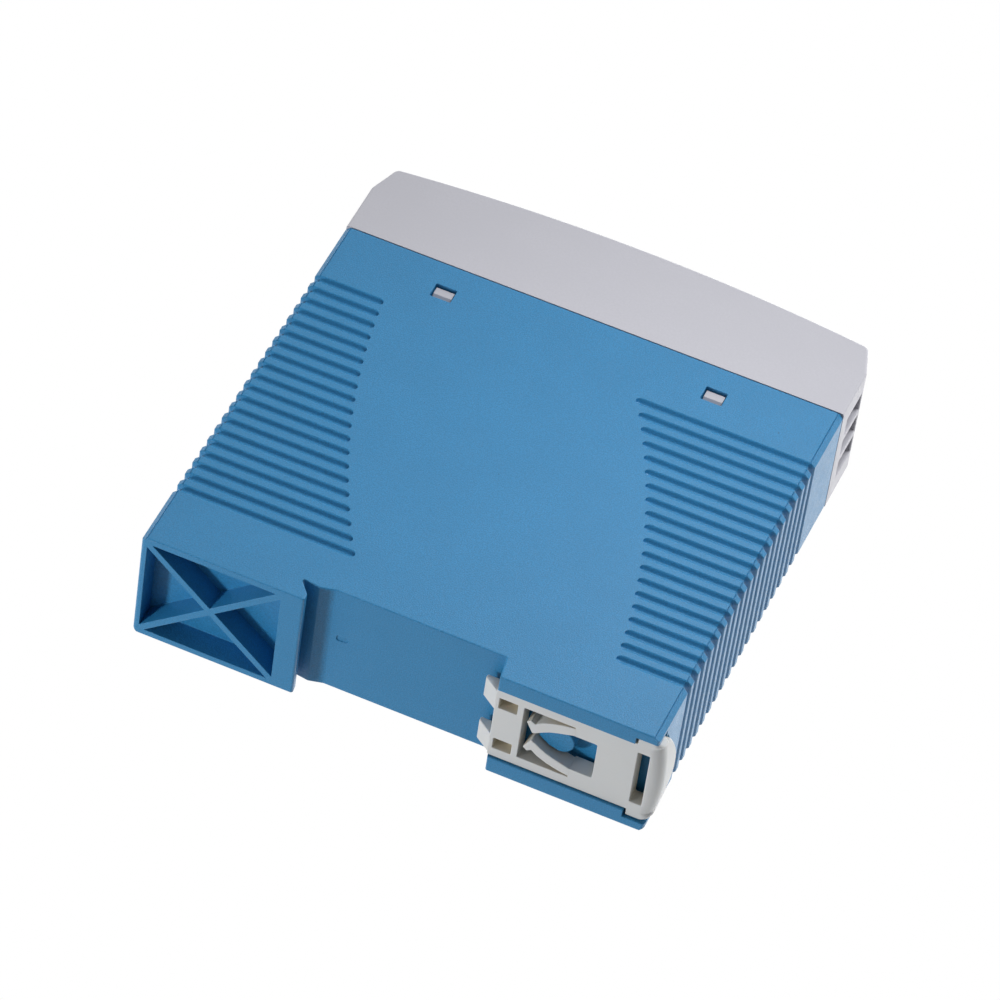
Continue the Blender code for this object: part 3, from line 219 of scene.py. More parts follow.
def body(name, bm):
    """Turn a bmesh into an object of the scene."""
    bmesh.ops.recalc_face_normals(bm, faces=bm.faces)
    mesh = bpy.data.meshes.new(name)
    bm.to_mesh(mesh)
    bm.free()
    made = bpy.data.objects.new(name, mesh)
    bpy.context.scene.collection.objects.link(made)
    return made


def joined(target, bm, operation="DIFFERENCE"):
    """Cut a closed shape from a body, or add it, and keep only the result."""
    tool = body("tool", bm)
    step = target.modifiers.new("step", "BOOLEAN")
    step.operation = operation
    step.solver = "EXACT"
    step.object = tool
    graph = bpy.context.evaluated_depsgraph_get()
    result = bpy.data.meshes.new_from_object(target.evaluated_get(graph))
    target.modifiers.clear()
    spent = target.data
    target.data = result
    result.name = target.name
    bpy.data.meshes.remove(spent)
    bpy.data.objects.remove(tool, do_unlink=True)


def finished(made, material):
    """Weld what the cuts left, smooth curved faces, keep flats flat, and give the material."""
    bm = bmesh.new()
    bm.from_mesh(made.data)
    bmesh.ops.remove_doubles(bm, verts=bm.verts, dist=WELD * MM)
    on_edges = [vert for vert in bm.verts if len(vert.link_edges) == 2
                and vert.calc_edge_angle() < math.radians(STRAIGHT)]
    bmesh.ops.dissolve_verts(bm, verts=on_edges)
    bm.to_mesh(made.data)
    bm.free()
    sharp = 32.0
    made.data.shade_smooth()
    made.data.set_sharp_from_angle(angle=math.radians(sharp))
    weigh = made.modifiers.new("flat faces", "WEIGHTED_NORMAL")
    weigh.keep_sharp = True
    made.data.materials.clear()
    made.data.materials.append(material)


# ---------------------------------------------------------------- materials

class Tree:
    """A node material under construction."""

    def __init__(self, name):
        self.material = bpy.data.materials.new(name)
        self.material.use_nodes = True
        self.nodes = self.material.node_tree.nodes
        self.links = self.material.node_tree.links
        self.shader = self.nodes["Principled BSDF"]
        self.coords = self.nodes.new("ShaderNodeTexCoord").outputs["Object"]

    def put(self, socket, value):
        if isinstance(value, bpy.types.NodeSocket):
            self.links.new(value, socket)
        elif isinstance(value, tuple) and len(value) == 3 and socket.type == "RGBA":
            socket.default_value = (*value, 1.0)
        else:
            socket.default_value = value

    def node(self, kind, **inputs):
        """New node with its settings and inputs given by name; returns its first output."""
        made = self.nodes.new(kind)
        for key, value in inputs.items():
            if key in made.bl_rna.properties and not isinstance(value, bpy.types.NodeSocket):
                setattr(made, key, value)
            else:
                self.put(made.inputs[key.replace("_", " ")], value)
        return made.outputs[0]

    def noise(self, size, detail=2.0, roughness=0.5):
        """Noise whose features are about "size" millimetres across."""
        return self.node("ShaderNodeTexNoise", Vector=self.coords, Scale=1.0 / (size * MM),
                         Detail=detail, Roughness=roughness)

    def math(self, operation, a, b):
        made = self.nodes.new("ShaderNodeMath")
        made.operation = operation
        self.put(made.inputs[0], a)
        self.put(made.inputs[1], b)
        return made.outputs[0]

    def ramp(self, value, low, high, out_low=0.0, out_high=1.0):
        made = self.nodes.new("ShaderNodeMapRange")
        for key, number in (("Value", value), ("From Min", low), ("From Max", high),
                            ("To Min", out_low), ("To Max", out_high)):
            self.put(made.inputs[key], number)
        return made.outputs[0]

    def mix(self, share, a, b):
        made = self.nodes.new("ShaderNodeMix")
        made.data_type = "RGBA"
        self.put(made.inputs[0], share)
        self.put(made.inputs[6], a)
        self.put(made.inputs[7], b)
        return made.outputs[2]

    def bump(self, height, distance, normal=None):
        """Raise the surface by a pattern, "distance" millimetres high."""
        made = self.nodes.new("ShaderNodeBump")
        made.inputs["Distance"].default_value = distance * MM
        made.inputs["Strength"].default_value = 1.0
        self.put(made.inputs["Height"], height)
        if normal is not None:
            self.put(made.inputs["Normal"], normal)
        return made.outputs[0]

    def soft_edges(self, radius):
        made = self.nodes.new("ShaderNodeBevel")
        made.samples = 6
        made.inputs["Radius"].default_value = radius * MM
        return made.outputs[0]

    def specks(self, spacing, share):
        """Small round dots, each a share of its cell wide, in one cell out of seven."""
        cells = self.nodes.new("ShaderNodeTexVoronoi")
        self.put(cells.inputs["Vector"], self.coords)
        cells.inputs["Scale"].default_value = 1.0 / (spacing * MM)
        chance = self.node("ShaderNodeSeparateColor", Color=cells.outputs["Color"])
        lucky = self.math("GREATER_THAN", chance, 0.86)
        dot = self.math("LESS_THAN", cells.outputs["Distance"], share)
        return self.math("MULTIPLY", dot, lucky)

    def surface(self, **values):
        """Set the shader's inputs by name and return the material."""
        for key, value in values.items():
            self.put(self.shader.inputs[key.replace("_", " ")], value)
        return self.material


# painted shade in the grain's hollows
GRAIN_SHADE = 4.5    # how much darker the grain's hollows are, per millimetre of grain height
SPECK_SPACING = 5.5
# reach of the ambient occlusion that places the painted "recess" shade
RECESS_SHADE_REACH = 3.0


def shade(colour, factor):
    return tuple(min(1.0, c * factor) for c in colour)


def moulded_plastic(name, colour, roughness, grain=0.0, grain_size=0.3, mottle=0.05, edge=0.15,
                    speck=0.0, glow=0.0, recess=None):
    """Moulded plastic with a slight colour drift ("mottle") and a spark-eroded grain.

    It may also have dark specks, let some light through ("glow"), and take painted shade: a
    second colour where the surface is hemmed in ("recess"). The grain's hollows are darkened as painted
    shade.
    """
    tree = Tree(name)
    drift = tree.ramp(tree.noise(9.0, 3.0), 0.35, 0.65)
    tone = tree.mix(drift, shade(colour, 1 - mottle), shade(colour, 1 + mottle))
    if grain:
        fine = tree.noise(grain_size, 2.0, 0.6)
        # painted shade: darker colour in the grain's hollows
        tone = tree.mix(tree.ramp(fine, 0.35, 0.65), shade(colour, 1 - GRAIN_SHADE * grain), tone)
    if recess:
        # painted shade: the "recess" colour is mixed in where ambient occlusion finds the surface hemmed
        # in
        hidden = tree.nodes.new("ShaderNodeAmbientOcclusion")
        hidden.inputs["Distance"].default_value = RECESS_SHADE_REACH * MM
        tone = tree.mix(tree.ramp(hidden.outputs["AO"], 0.2, 0.8), recess, tone)
    if speck:
        tone = tree.mix(tree.specks(SPECK_SPACING, speck), tone, shade(colour, 0.25))
    normal = tree.soft_edges(edge)
    if grain:
        normal = tree.bump(fine, grain, normal)
    rough = tree.ramp(tree.noise(1.7, 2.0), 0.3, 0.7, roughness - 0.04, roughness + 0.04)
    values = {"Base_Color": tone, "Roughness": rough, "Normal": normal}
    if glow:
        values.update({"Subsurface_Weight": glow, "Subsurface_Radius": (1.0, 0.8, 0.6),
                       "Subsurface_Scale": 0.8 * MM})
    return tree.surface(**values)


def metal(name, colour, roughness, streak=0.8):
    """Bare metal with a slight drift of tone; the streaks' size is in millimetres."""
    tree = Tree(name)
    streaks = tree.noise(streak, 3.0)
    rough = tree.ramp(streaks, 0.3, 0.7, roughness * 0.8, roughness * 1.25)
    tone = tree.mix(tree.ramp(tree.noise(3.0), 0.3, 0.7), shade(colour, 0.9), colour)
    normal = tree.bump(streaks, 0.004, tree.soft_edges(0.08))
    return tree.surface(Base_Color=tone, Metallic=1.0, Roughness=rough, Normal=normal)


def wound_wire(name, colour, pitch):
    """Wire wound side by side: fine ridges with painted shade between the turns."""
    tree = Tree(name)
    ridges = tree.node("ShaderNodeTexWave", Vector=tree.coords, bands_direction="DIAGONAL",
                       Scale=0.32 / (pitch * MM), Distortion=0.4)
    # painted shade between the turns
    tone = tree.mix(ridges, shade(colour, 0.45), colour)
    return tree.surface(Base_Color=tone, Metallic=0.6, Roughness=0.3,
                        Normal=tree.bump(ridges, 0.1))


PLASTICS = {
    "blue_shell": dict(colour=(0.03, 0.26, 0.54), roughness=0.42, grain=0.06, grain_size=0.22,
                       mottle=0.03, edge=0.12, speck=0.02),
    "grey_cover": dict(colour=(0.55, 0.55, 0.605), roughness=0.45, grain=0.006, grain_size=0.4,
                       mottle=0.012),
    # the latch's "recess" colour is painted warm shade for light bounced round its pockets and windows
    "latch_plastic": dict(colour=(0.68, 0.70, 0.71), roughness=0.52, mottle=0.01, edge=0.1,
                          glow=0.15, recess=(0.62, 0.57, 0.46)),
    "dark_plastic": dict(colour=(0.028, 0.028, 0.03), roughness=0.45, grain=0.01, grain_size=0.2),
    "terminal_plastic": dict(colour=(0.42, 0.42, 0.44), roughness=0.5, grain=0.01),
    # the rotor's "recess" colour is painted dark shade in its screwdriver recess
    "cream_plastic": dict(colour=(0.86, 0.82, 0.7), roughness=0.5, recess=(0.1, 0.08, 0.06)),
    "yellow_plastic": dict(colour=(0.7, 0.5, 0.08), roughness=0.42),
    "blue_lacquer": dict(colour=(0.05, 0.16, 0.4), roughness=0.25, grain=0.03, grain_size=1.2),
    "black_sleeve": dict(colour=(0.025, 0.027, 0.035), roughness=0.3, grain=0.01, grain_size=2.0),
    "ferrite": dict(colour=(0.05, 0.048, 0.047), roughness=0.6, grain=0.02, grain_size=0.25),
    "insulation_film": dict(colour=(0.75, 0.74, 0.66), roughness=0.3),
    "board_laminate": dict(colour=(0.03, 0.16, 0.06), roughness=0.4, grain=0.01, grain_size=0.5,
                           mottle=0.15),
}


def make_materials():
    """One node material for each material slot of the record."""
    made = {name: moulded_plastic(name, **look) for name, look in PLASTICS.items()}
    made["copper_wire"] = wound_wire("copper_wire", (0.62, 0.25, 0.09), 0.6)
    made["aluminium"] = metal("aluminium", (0.66, 0.67, 0.68), 0.38, streak=0.25)
    made["plated_steel"] = metal("plated_steel", (0.62, 0.62, 0.6), 0.3)
    made["tinned_brass"] = metal("tinned_brass", (0.68, 0.66, 0.6), 0.28)
    lens = Tree("led_lens")
    green = lens.mix(lens.noise(1.0), (0.08, 0.42, 0.12), (0.12, 0.55, 0.17))
    made["led_lens"] = lens.surface(Base_Color=green, Roughness=0.25, Transmission_Weight=0.3)
    clear = Tree("clear_pipe")
    clear_rough = clear.ramp(clear.noise(0.8), 0.3, 0.7, 0.08, 0.2)
    made["clear_pipe"] = clear.surface(Base_Color=(0.86, 0.88, 0.88), Roughness=clear_rough,
                                       Transmission_Weight=0.85, IOR=1.49)
    return made


MATERIALS = make_materials()


def stands_for(made, node, slot):
    """Finish a piece and let it take a CAD node's place, its body and its material slot."""
    finished(made, MATERIALS[slot])
    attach(made, frame["nodes"][node]["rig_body"])
    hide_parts(node)


# ---------------------------------------------------------------- case

def case_outline():
    """Side view of the case as (z, depth, corner radius), with the hook and the rail slot."""
    return [
        (HALF_Z, SEAM, 0.3),
        (-HALF_Z, SEAM, 0.3),
        (-HALF_Z, 0.0, 0.6),
        (-17.5, 0.0, 0.35),
        (-16.8, SLOT_FLOOR, 0.25),
        (12.9, SLOT_FLOOR, 1.2),
        (15.4, 3.7, 0.7),
        (18.8, 4.2, 0.3),
        (16.6, 1.5, 0.4),
        (16.4, 0.0, 0.45),
        (HALF_Z, 0.0, 0.6),
    ]


def corner_cutters():
    """Wedges that leave the flat chamfers between the side panels and the end faces."""
    bm = bmesh.new()
    for side in (-1, 1):
        for end in (-1, 1):
            wedge = [(HALF_X - END_CUT - OVER, HALF_Z + OVER), (HALF_X + OVER, HALF_Z - END_CUT - OVER),
                     (HALF_X + 2 * OVER, HALF_Z + 2 * OVER)]
            slab(bm, [(side * x, end * z) for x, z in wedge], rear_view, -OVER, SEAM + OVER)
    return bm


def crease_cutters():
    """Fine lines on the side panels, just inside the chamfers."""
    bm = bmesh.new()
    for side in (-1, 1):
        for end in (-1, 1):
            x, z = side * HALF_X, end * (HALF_Z - END_CUT)
            outline = [(x + side * 0.1, z - 0.15), (x + side * 0.1, z + 0.15), (x - side * 0.24, z)]
            slab(bm, outline, rear_view, -OVER, SEAM + OVER)
    return bm


def channel_cutters():
    """The latch's channel, the wider room for its head, and the guide slots in the walls."""
    top, head_top, low = -16.4, -41.1, -HALF_Z - OVER
    channel = bmesh.new()
    outline = [(-8.0, top), (8.0, top), (8.0, low), (-8.0, low)]
    hollow(channel, outline, rear_view, 0.0, SLOT_FLOOR + 0.005, 0.18)
    heads = bmesh.new()
    guides = bmesh.new()
    for side in (-1, 1):
        outline = [(side * 7.5, head_top), (side * 9.5, head_top), (side * 9.5, low), (side * 7.5, low)]
        hollow(heads, outline, rear_view, 0.0, 3.6, 0.12)
        box(guides, sorted((side * 7.6, side * 9.7)), (1.8, 3.9), (low, top))
    return channel, heads, guides


def inner_hollow():
    bm = bmesh.new()
    box(bm, (-INNER_X, INNER_X), (BACK_WALL, SEAM + OVER), (-INNER_Z, INNER_Z))
    return bm


def boss():
    """Drop-shaped boss on the channel floor that spreads the latch's spring arms."""
    radius, middle = 2.45, -28.45
    right = [(0.5, -24.9), (1.15, -25.6), (2.0, -26.8)]
    for k in range(13):
        angle = math.pi / 2 * k / 12
        right.append((radius * math.cos(angle), middle - radius * math.sin(angle)))
    bm = bmesh.new()
    slab(bm, right + [(-x, z) for x, z in right[::-1] if x > 0.01], rear_view, 1.9, 5.0, 0.2)
    return bm


def grip_bed():
    """Room for the grip where it wraps round to the bottom face."""
    half = GRIP_HALF + GAP
    bm = bmesh.new()
    slab(bm, [(half, -OVER), (-half, -OVER)] + grip_front(half), end_view, -44.1, -47.0)
    return bm


def grip_front(half, steps=20):
    """Front edge of the grip's bed seen from below, as (x, depth)."""
    shares = [2 * k / steps - 1 for k in range(steps + 1)]
    return [(half * share, GRIP_FRONT + GAP - GRIP_BOW * share ** 2) for share in shares]


def pocket_cutters():
    """Four wedges that leave an X of ribs across the hook block's pocket."""
    half_x, low, high, rib = 10.0, 20.4, 43.9, 1.2
    mid, half_z = (low + high) / 2, (high - low) / 2
    slant = math.hypot(half_x, half_z)
    shift_x, shift_z = rib / 2 * slant / half_z, rib / 2 * slant / half_x
    wedges = [[(side * half_x, mid + half_z - shift_z), (side * half_x, mid - half_z + shift_z),
               (side * shift_x, mid)] for side in (-1, 1)]
    wedges += [[(half_x - shift_x, mid + end * half_z), (-half_x + shift_x, mid + end * half_z),
                (0.0, mid + end * shift_z)] for end in (-1, 1)]
    bm = bmesh.new()
    for wedge in wedges:
        hollow(bm, wedge, rear_view, 0.0, POCKET_CUT, 0.1)
    return bm


def gate_mark():
    """Shallow mould mark on the floor of the rail slot."""
    near, far, low, high, corner = -1.2, 0.0, 9.7, 11.7, 0.35
    outline = [(near, low, corner), (far, low, corner), (far, high, corner), (near, high, corner)]
    bm = bmesh.new()
    hollow(bm, outline, rear_view, SLOT_FLOOR, SLOT_FLOOR + 0.16, 0.12)
    return bm


def window_cutters():
    """The four windows in which the cover's tongues snap."""
    bm = bmesh.new()
    for side in (-1, 1):
        for end in (-1, 1):
            low, high = end * WINDOW_Z - 1.9, end * WINDOW_Z + 1.9
            outline = [(low, 72.5, 0.2), (high, 72.5, 0.2), (high, 75.6, 0.2), (low, 75.6, 0.2)]
            hollow(bm, outline, side_view, side * HALF_X, side * 8.6, 0.08)
    return bm


def groove_section():
    """Wave-shaped groove, as (across, height) in millimetres, closed above the surface."""
    section = []
    for k in range(17):
        share = k / 8 - 1
        section.append((GROOVE_HALF * share, 0.02 - GROOVE_CUT * (1 + math.cos(math.pi * share)) / 2))
    return section + [(GROOVE_HALF, 0.5), (-GROOVE_HALF, 0.5)]


def groove_inner_z(depth):
    """Height at which the groove at a depth ends on the side panel: a point on a large arc."""
    radius, middle_z, middle_depth = 143.0, -109.0, 86.1
    return middle_z + math.sqrt(radius ** 2 - (middle_depth - depth) ** 2)


def groove_path(inner_z, end):
    """Stations of a groove from one side panel round to the other.

    Each is (x, z, outward x, outward z, share of the width, share of the depth); the first ones
    round the groove's tip.
    """
    mitre = math.tan(math.pi / 8)
    run = []
    for back in (0.02, 0.12, 0.3, 0.6, 1.0):
        wide = math.sqrt(1 - (1 - back) ** 2)
        z = inner_z + (back - 0.5) * GROOVE_HALF
        run.append((-HALF_X, z, -1.0, 0.0, wide, min(1.0, wide ** 0.4)))
    run.append((-HALF_X, HALF_Z - END_CUT, -1.0, mitre, 1.0, 1.0))
    run.append((-HALF_X + END_CUT, HALF_Z, -mitre, 1.0, 1.0, END_GROOVE))
    run += [(-x, z, -nx, nz, w, c) for x, z, nx, nz, w, c in run[::-1]]
    return [(x, end * z, nx, end * nz, w, c) for x, z, nx, nz, w, c in run]


def groove_cutters():
    """All heat grooves; the arc of tips at the bottom end is the top end's one turned round."""
    bm = bmesh.new()
    section = groove_section()
    for index in range(GROOVES):
        depth = GROOVE_MIDDLE + GROOVE_PITCH * ((GROOVES - 1) / 2 - index)
        for end in (1, -1):
            inner = groove_inner_z(depth if end > 0 else 2 * GROOVE_MIDDLE - depth)
            loops = []
            for x, z, nx, nz, width, cut in groove_path(inner, end):
                loop = []
                for u, height in section:
                    rise = height * cut if height < 0 else height
                    loop.append(at(x + nx * rise, depth + u * width, z + nz * rise))
                loops.append(loop)
            skin(bm, loops)
    return bm


def make_case():
    rim = 0.25
    bm = bmesh.new()
    slab(bm, case_outline(), side_view, -HALF_X, HALF_X, rim, rim)
    case = body("case", bm)
    for cutter in (corner_cutters(), crease_cutters(), inner_hollow(), *channel_cutters()):
        joined(case, cutter)
    joined(case, boss(), "UNION")
    for cutter in (grip_bed(), pocket_cutters(), gate_mark(), window_cutters(), groove_cutters()):
        joined(case, cutter)
    stands_for(case, "body_shell", "blue_shell")


# ---------------------------------------------------------------- front cover

FRONT = 100.0        # depth of the bowed front at mid height
SHOULDER_Z = 43.0    # where the bowed front meets the slanted shoulders
CORNER_DEPTH = 91.3  # where the shoulders meet the end faces


def front_depth(z, inset=0.0):
    """Depth of the bowed front at a height."""
    sagitta = 2.7
    radius = (SHOULDER_Z ** 2 + sagitta ** 2) / (2 * sagitta)
    return FRONT - radius + math.sqrt(radius ** 2 - z ** 2) - inset


def cover_outline(inset, rear):
    """Side view of the cover as (z, depth, corner radius), moved inwards by a distance."""
    shoulder, wall = SHOULDER_Z - inset * 0.8, HALF_Z - inset
    brow, corner = front_depth(shoulder, inset), CORNER_DEPTH - inset * 0.2
    points = [(wall, rear), (wall, corner, 1.6), (shoulder, brow, 1.3)]
    for k in range(1, 40):
        z = shoulder * (1 - k / 20)
        points.append((z, front_depth(z, inset)))
    return points + [(-shoulder, brow, 1.3), (-wall, corner, 1.6), (-wall, rear)]


def tongue(side, end):
    """Snap tongue inside the cover with a sloped barb that looks out of the case's window."""
    middle = end * WINDOW_Z
    inner, outer, root = (side * x for x in (8.2, 9.25, 10.5))
    blade = bmesh.new()
    outline = [(inner, 71.6), (outer, 71.6), (outer, 82.0), (root, 82.0), (root, 85.0), (inner, 85.0)]
    skin(blade, [[at(x, depth, middle + half) for x, depth in outline] for half in (-3.4, 3.4)])
    sunk, lip, tip = outer - side * 0.3, side * 9.5, side * 10.62
    barb = bmesh.new()
    outline = [(sunk, 72.7), (lip, 72.7), (tip, 73.8), (tip, 75.3), (sunk, 75.3)]
    skin(barb, [[at(x, depth, middle + half) for x, depth in outline] for half in (-1.65, 1.65)])
    return blade, barb


def cover_hollow():
    """Room inside the cover, and a trim of its rear edge down to the seam."""
    trim = bmesh.new()
    box(trim, (-12.0, 12.0), (SEAM - 2 * OVER, SEAM + 0.1), (-46.0, 46.0))
    room = bmesh.new()
    slab(room, cover_outline(1.5, SEAM - 2 * OVER), side_view, -9.75, 9.75)
    return trim, room


def wire_entries():
    bm = bmesh.new()
    for end in (-1, 1):
        for x in POLES:
            near, far = x - 1.9, x + 1.9
            outline = [(near, 84.0, 0.3), (far, 84.0, 0.3), (far, 90.8, 0.3), (near, 90.8, 0.3)]
            hollow(bm, outline, end_view, end * HALF_Z, end * INNER_Z, 0.25)
    return bm


def front_holes():
    """Holes over the screws, the light pipe and the trimmer, with eased rims."""
    holes = [(x, end * SCREW_Z, 2.05) for x in POLES for end in (-1, 1)]
    holes += [(*LIGHT_PIPE, 1.75), (*TRIMMER, 2.2)]
    bm = bmesh.new()
    for x, z, radius in holes:
        top, low = FRONT - front_depth(z), 6.0
        profile = [(0.0, -OVER), (radius + 0.3, -OVER), (radius + 0.3, top), (radius + 0.09, top + 0.09),
                   (radius, top + 0.3), (radius, low), (0.0, low)]
        turned(bm, at(x, FRONT, z), (0.0, 1.0, 0.0), profile)
    return bm


def make_cover():
    rim = 0.45
    bm = bmesh.new()
    slab(bm, cover_outline(0.0, SEAM - OVER), side_view, -HALF_X, HALF_X, rim, rim, 4)
    cover = body("cover", bm)
    for cutter in cover_hollow():
        joined(cover, cutter)
    for side in (-1, 1):
        for end in (-1, 1):
            for piece in tongue(side, end):
                joined(cover, piece, "UNION")
    joined(cover, wire_entries())
    joined(cover, front_holes())
    stands_for(cover, "front_cover", "grey_cover")


# ---------------------------------------------------------------- rail latch

def latch_plate():
    half, top, low = 7.84, -17.2, -42.0
    bm = bmesh.new()
    outline = [(half, top, 0.35), (-half, top, 0.35), (-half, low), (half, low)]
    slab(bm, outline, rear_view, FACE, BACK, 0.15, 0.1)
    return bm


def latch_runners():
    """Flat strip whose edges run in the case's guide slots."""
    bm = bmesh.new()
    box(bm, (-9.4, 9.4), (2.1, 3.6), (-40.4, -18.2))
    return bm


def latch_noses():
    """Two sloped noses that hold the rail's lower flange."""
    foot, tip = -18.4, -14.55
    bm = bmesh.new()
    for side in (-1, 1):
        outline = [(foot, FACE + 0.05), (-17.2, FACE + 0.05, 0.3), (tip, 2.4, 0.3),
                   (tip, 3.2, 0.25), (foot, 3.2)]
        near, far = sorted((side * 2.95, side * 7.25))
        slab(bm, outline, side_view, near, far, 0.18, 0.18)
    return bm


def latch_head():
    """Wide head of the latch and the bowed grip that wraps round to the bottom face."""
    wide, rim, inside = 9.2, 0.2, -44.3
    stations = [wide - rim * (1 - math.sin(math.pi / 2 * k / 3)) for k in range(4)][::-1]
    stations += [8.7, 8.2, GRIP_HALF + 0.12] + [GRIP_HALF * (1 - k / 12) for k in range(13)]
    stations += [-x for x in stations[-2::-1]]
    loops = []
    for x in stations:
        share = min(1.0, abs(x) / GRIP_HALF)
        low, front, bend = -46.35 + 0.65 * share ** 2, GRIP_FRONT - GRIP_BOW * share ** 2, 2.2
        if abs(x) > GRIP_HALF:
            corner = (abs(x) - GRIP_HALF) / (wide - GRIP_HALF)
            low, front, bend = -45.7 + 1.35 * corner ** 2.5, BACK, 0.8 + 1.4 * (1 - corner) ** 2
        inset = rim - math.sqrt(max(0.0, rim ** 2 - max(0.0, abs(x) - wide + rim) ** 2))
        rear, high = FACE + inset, -41.4 - inset
        low += inset
        loop = [at(x, BACK - 0.1, high), at(x, rear + 0.15, high), at(x, rear, high - 0.15)]
        for m in range(7):
            angle = math.pi / 2 * m / 6
            loop.append(at(x, rear + bend * (1 - math.cos(angle)), low + bend - bend * math.sin(angle)))
        loop += [at(x, front - 0.3 - inset, low), at(x, front - inset, low + 0.3),
                 at(x, front - inset, inside), at(x, BACK - 0.08, inside + 0.02)]
        loops.append(loop)
    bm = bmesh.new()
    skin(bm, loops)
    return bm


def arm_window():
    """Opening round the spring arms, narrower where their roots stand."""
    half, root_half, top, root, low = 5.9, 3.95, -22.2, -31.0, -35.0
    outline = [(-half, top, 0.2), (-half, root), (-root_half, root), (-root_half, low, 0.3),
               (root_half, low, 0.3), (root_half, root), (half, root), (half, top, 0.2)]
    bm = bmesh.new()
    hollow(bm, outline, rear_view, FACE, BACK + OVER, 0.12)
    return bm


def plate_openings():
    """Two blind pockets under the noses and the slot for a screwdriver."""
    bm = bmesh.new()
    for side in (-1, 1):
        near, far, top, low = side * 3.6, side * 5.95, -17.9, -21.1
        outline = [(near, top, 0.15), (far, top, 0.15), (far, low, 0.15), (near, low, 0.15)]
        hollow(bm, outline, rear_view, FACE, 2.5, 0.1)
    half, top, low = 5.9, -41.75, -43.8
    outline = [(-half, top, 0.2), (half, top, 0.2), (half, low, 0.2), (-half, low, 0.2)]
    hollow(bm, outline, rear_view, FACE, BACK + OVER, 0.15)
    return bm


def make_latch():
    latch = body("rail_latch", latch_plate())
    for piece in (latch_runners(), latch_noses(), latch_head()):
        joined(latch, piece, "UNION")
    for cutter in (arm_window(), plate_openings()):
        joined(latch, cutter)
    stands_for(latch, "din_latch", "latch_plastic")


def arm_outline(side):
    """Curved spring arm with a barbed tip; its root runs into the latch plate."""
    inner = [(0.8, -24.1, 0.3), (1.25, -24.9, 0.0), (1.95, -25.9, 0.0), (2.55, -26.95, 0.0),
             (3.05, -28.2, 0.0), (3.5, -29.6, 0.0), (3.93, -31.0, 0.0), (4.2, -31.3, 0.0)]
    outer = [(5.75, -31.3, 0.0), (5.35, -29.2, 0.0), (4.75, -27.2, 0.0), (3.95, -25.5, 0.0),
             (3.1, -24.4, 0.1), (3.6, -23.6, 0.15), (3.0, -22.9, 0.2)]
    return [(side * x, z, radius) for x, z, radius in inner + outer]


def make_arms():
    """Both arms, in place of the CAD's spring arms."""
    for side, name in ((-1, "left"), (1, "right")):
        bm = bmesh.new()
        slab(bm, arm_outline(side), rear_view, FACE, BACK, 0.15, 0.1)
        arm = body("spring_arm_" + name, bm)
        finished(arm, MATERIALS["latch_plastic"])
        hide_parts("latch_spring_arm_" + name)
        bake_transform(arm)


# ---------------------------------------------------------------- terminal screws and trimmer rotor

def screw_profile():
    """Domed cheese head and ridged shaft, as (radius, distance behind the head's top)."""
    head, length, pitch = 1.8, 7.1, 0.45
    head_radius, crest, valley = 1.75, 1.25, 1.04
    profile = [(0.0, 0.0), (0.9, 0.03), (1.4, 0.12), (1.64, 0.26), (head_radius, 0.48),
               (head_radius, head - 0.08), (1.67, head), (crest, head)]
    ridges = int((length - head - 0.8) / pitch)
    for k in range(ridges):
        start = head + 0.4 + k * pitch
        profile += [(crest, start), (valley, start + pitch / 2)]
    return profile + [(crest, length - 0.4), (0.95, length), (0.0, length)]


def make_screws():
    """Six slotted clamping screws."""
    for side, end in (("input", -1), ("output", 1)):
        for pole, x in enumerate(POLES, 1):
            z = end * SCREW_Z
            bm = bmesh.new()
            turned(bm, at(x, SCREW_TOP, z), (0.0, 1.0, 0.0), screw_profile(), 40)
            name = f"{side}_screw_{pole}"
            screw = body("terminal_" + name, bm)
            slot = bmesh.new()
            box(slot, (x - 2.2, x + 2.2), (SCREW_TOP - 0.8, SCREW_TOP + OVER), (z - 0.3, z + 0.3))
            joined(screw, slot)
            stands_for(screw, name, "plated_steel")


def make_rotor():
    """Round rotor with an arrow-shaped screwdriver recess."""
    x, z = TRIMMER
    top, radius, height = 86.6, 1.9, 2.2
    bm = bmesh.new()
    profile = [(0.0, 0.0), (1.6, 0.0), (1.78, 0.06), (1.88, 0.2), (radius, 0.35), (radius, height),
               (0.0, height)]
    turned(bm, at(x, top, z), (0.0, 1.0, 0.0), profile)
    rotor = body("rotor", bm)
    tail, neck, tip, shaft, barb = -1.4, 0.25, 1.45, 0.36, 0.85
    arrow = [(tail, -shaft), (neck, -shaft), (neck, -barb), (tip, 0.0), (neck, barb), (neck, shaft),
             (tail, shaft)]
    recess = bmesh.new()
    slab(recess, [(x + a, z + b) for a, b in arrow], rear_view, top - 0.9, top + OVER)
    joined(rotor, recess)
    stands_for(rotor, "trimmer_rotor", "cream_plastic")


# ---------------------------------------------------------------- carried-over CAD parts

def dress_frame():
    """Give every CAD part the material of its slot."""
    slots = {row["node"]: row["material_slot"] for row in frame["record"]["subparts"]}
    for name, node in NODES.items():
        node.data.materials.clear()
        node.data.materials.append(MATERIALS[slots[name]])


# ---------------------------------------------------------------- stage, light and camera

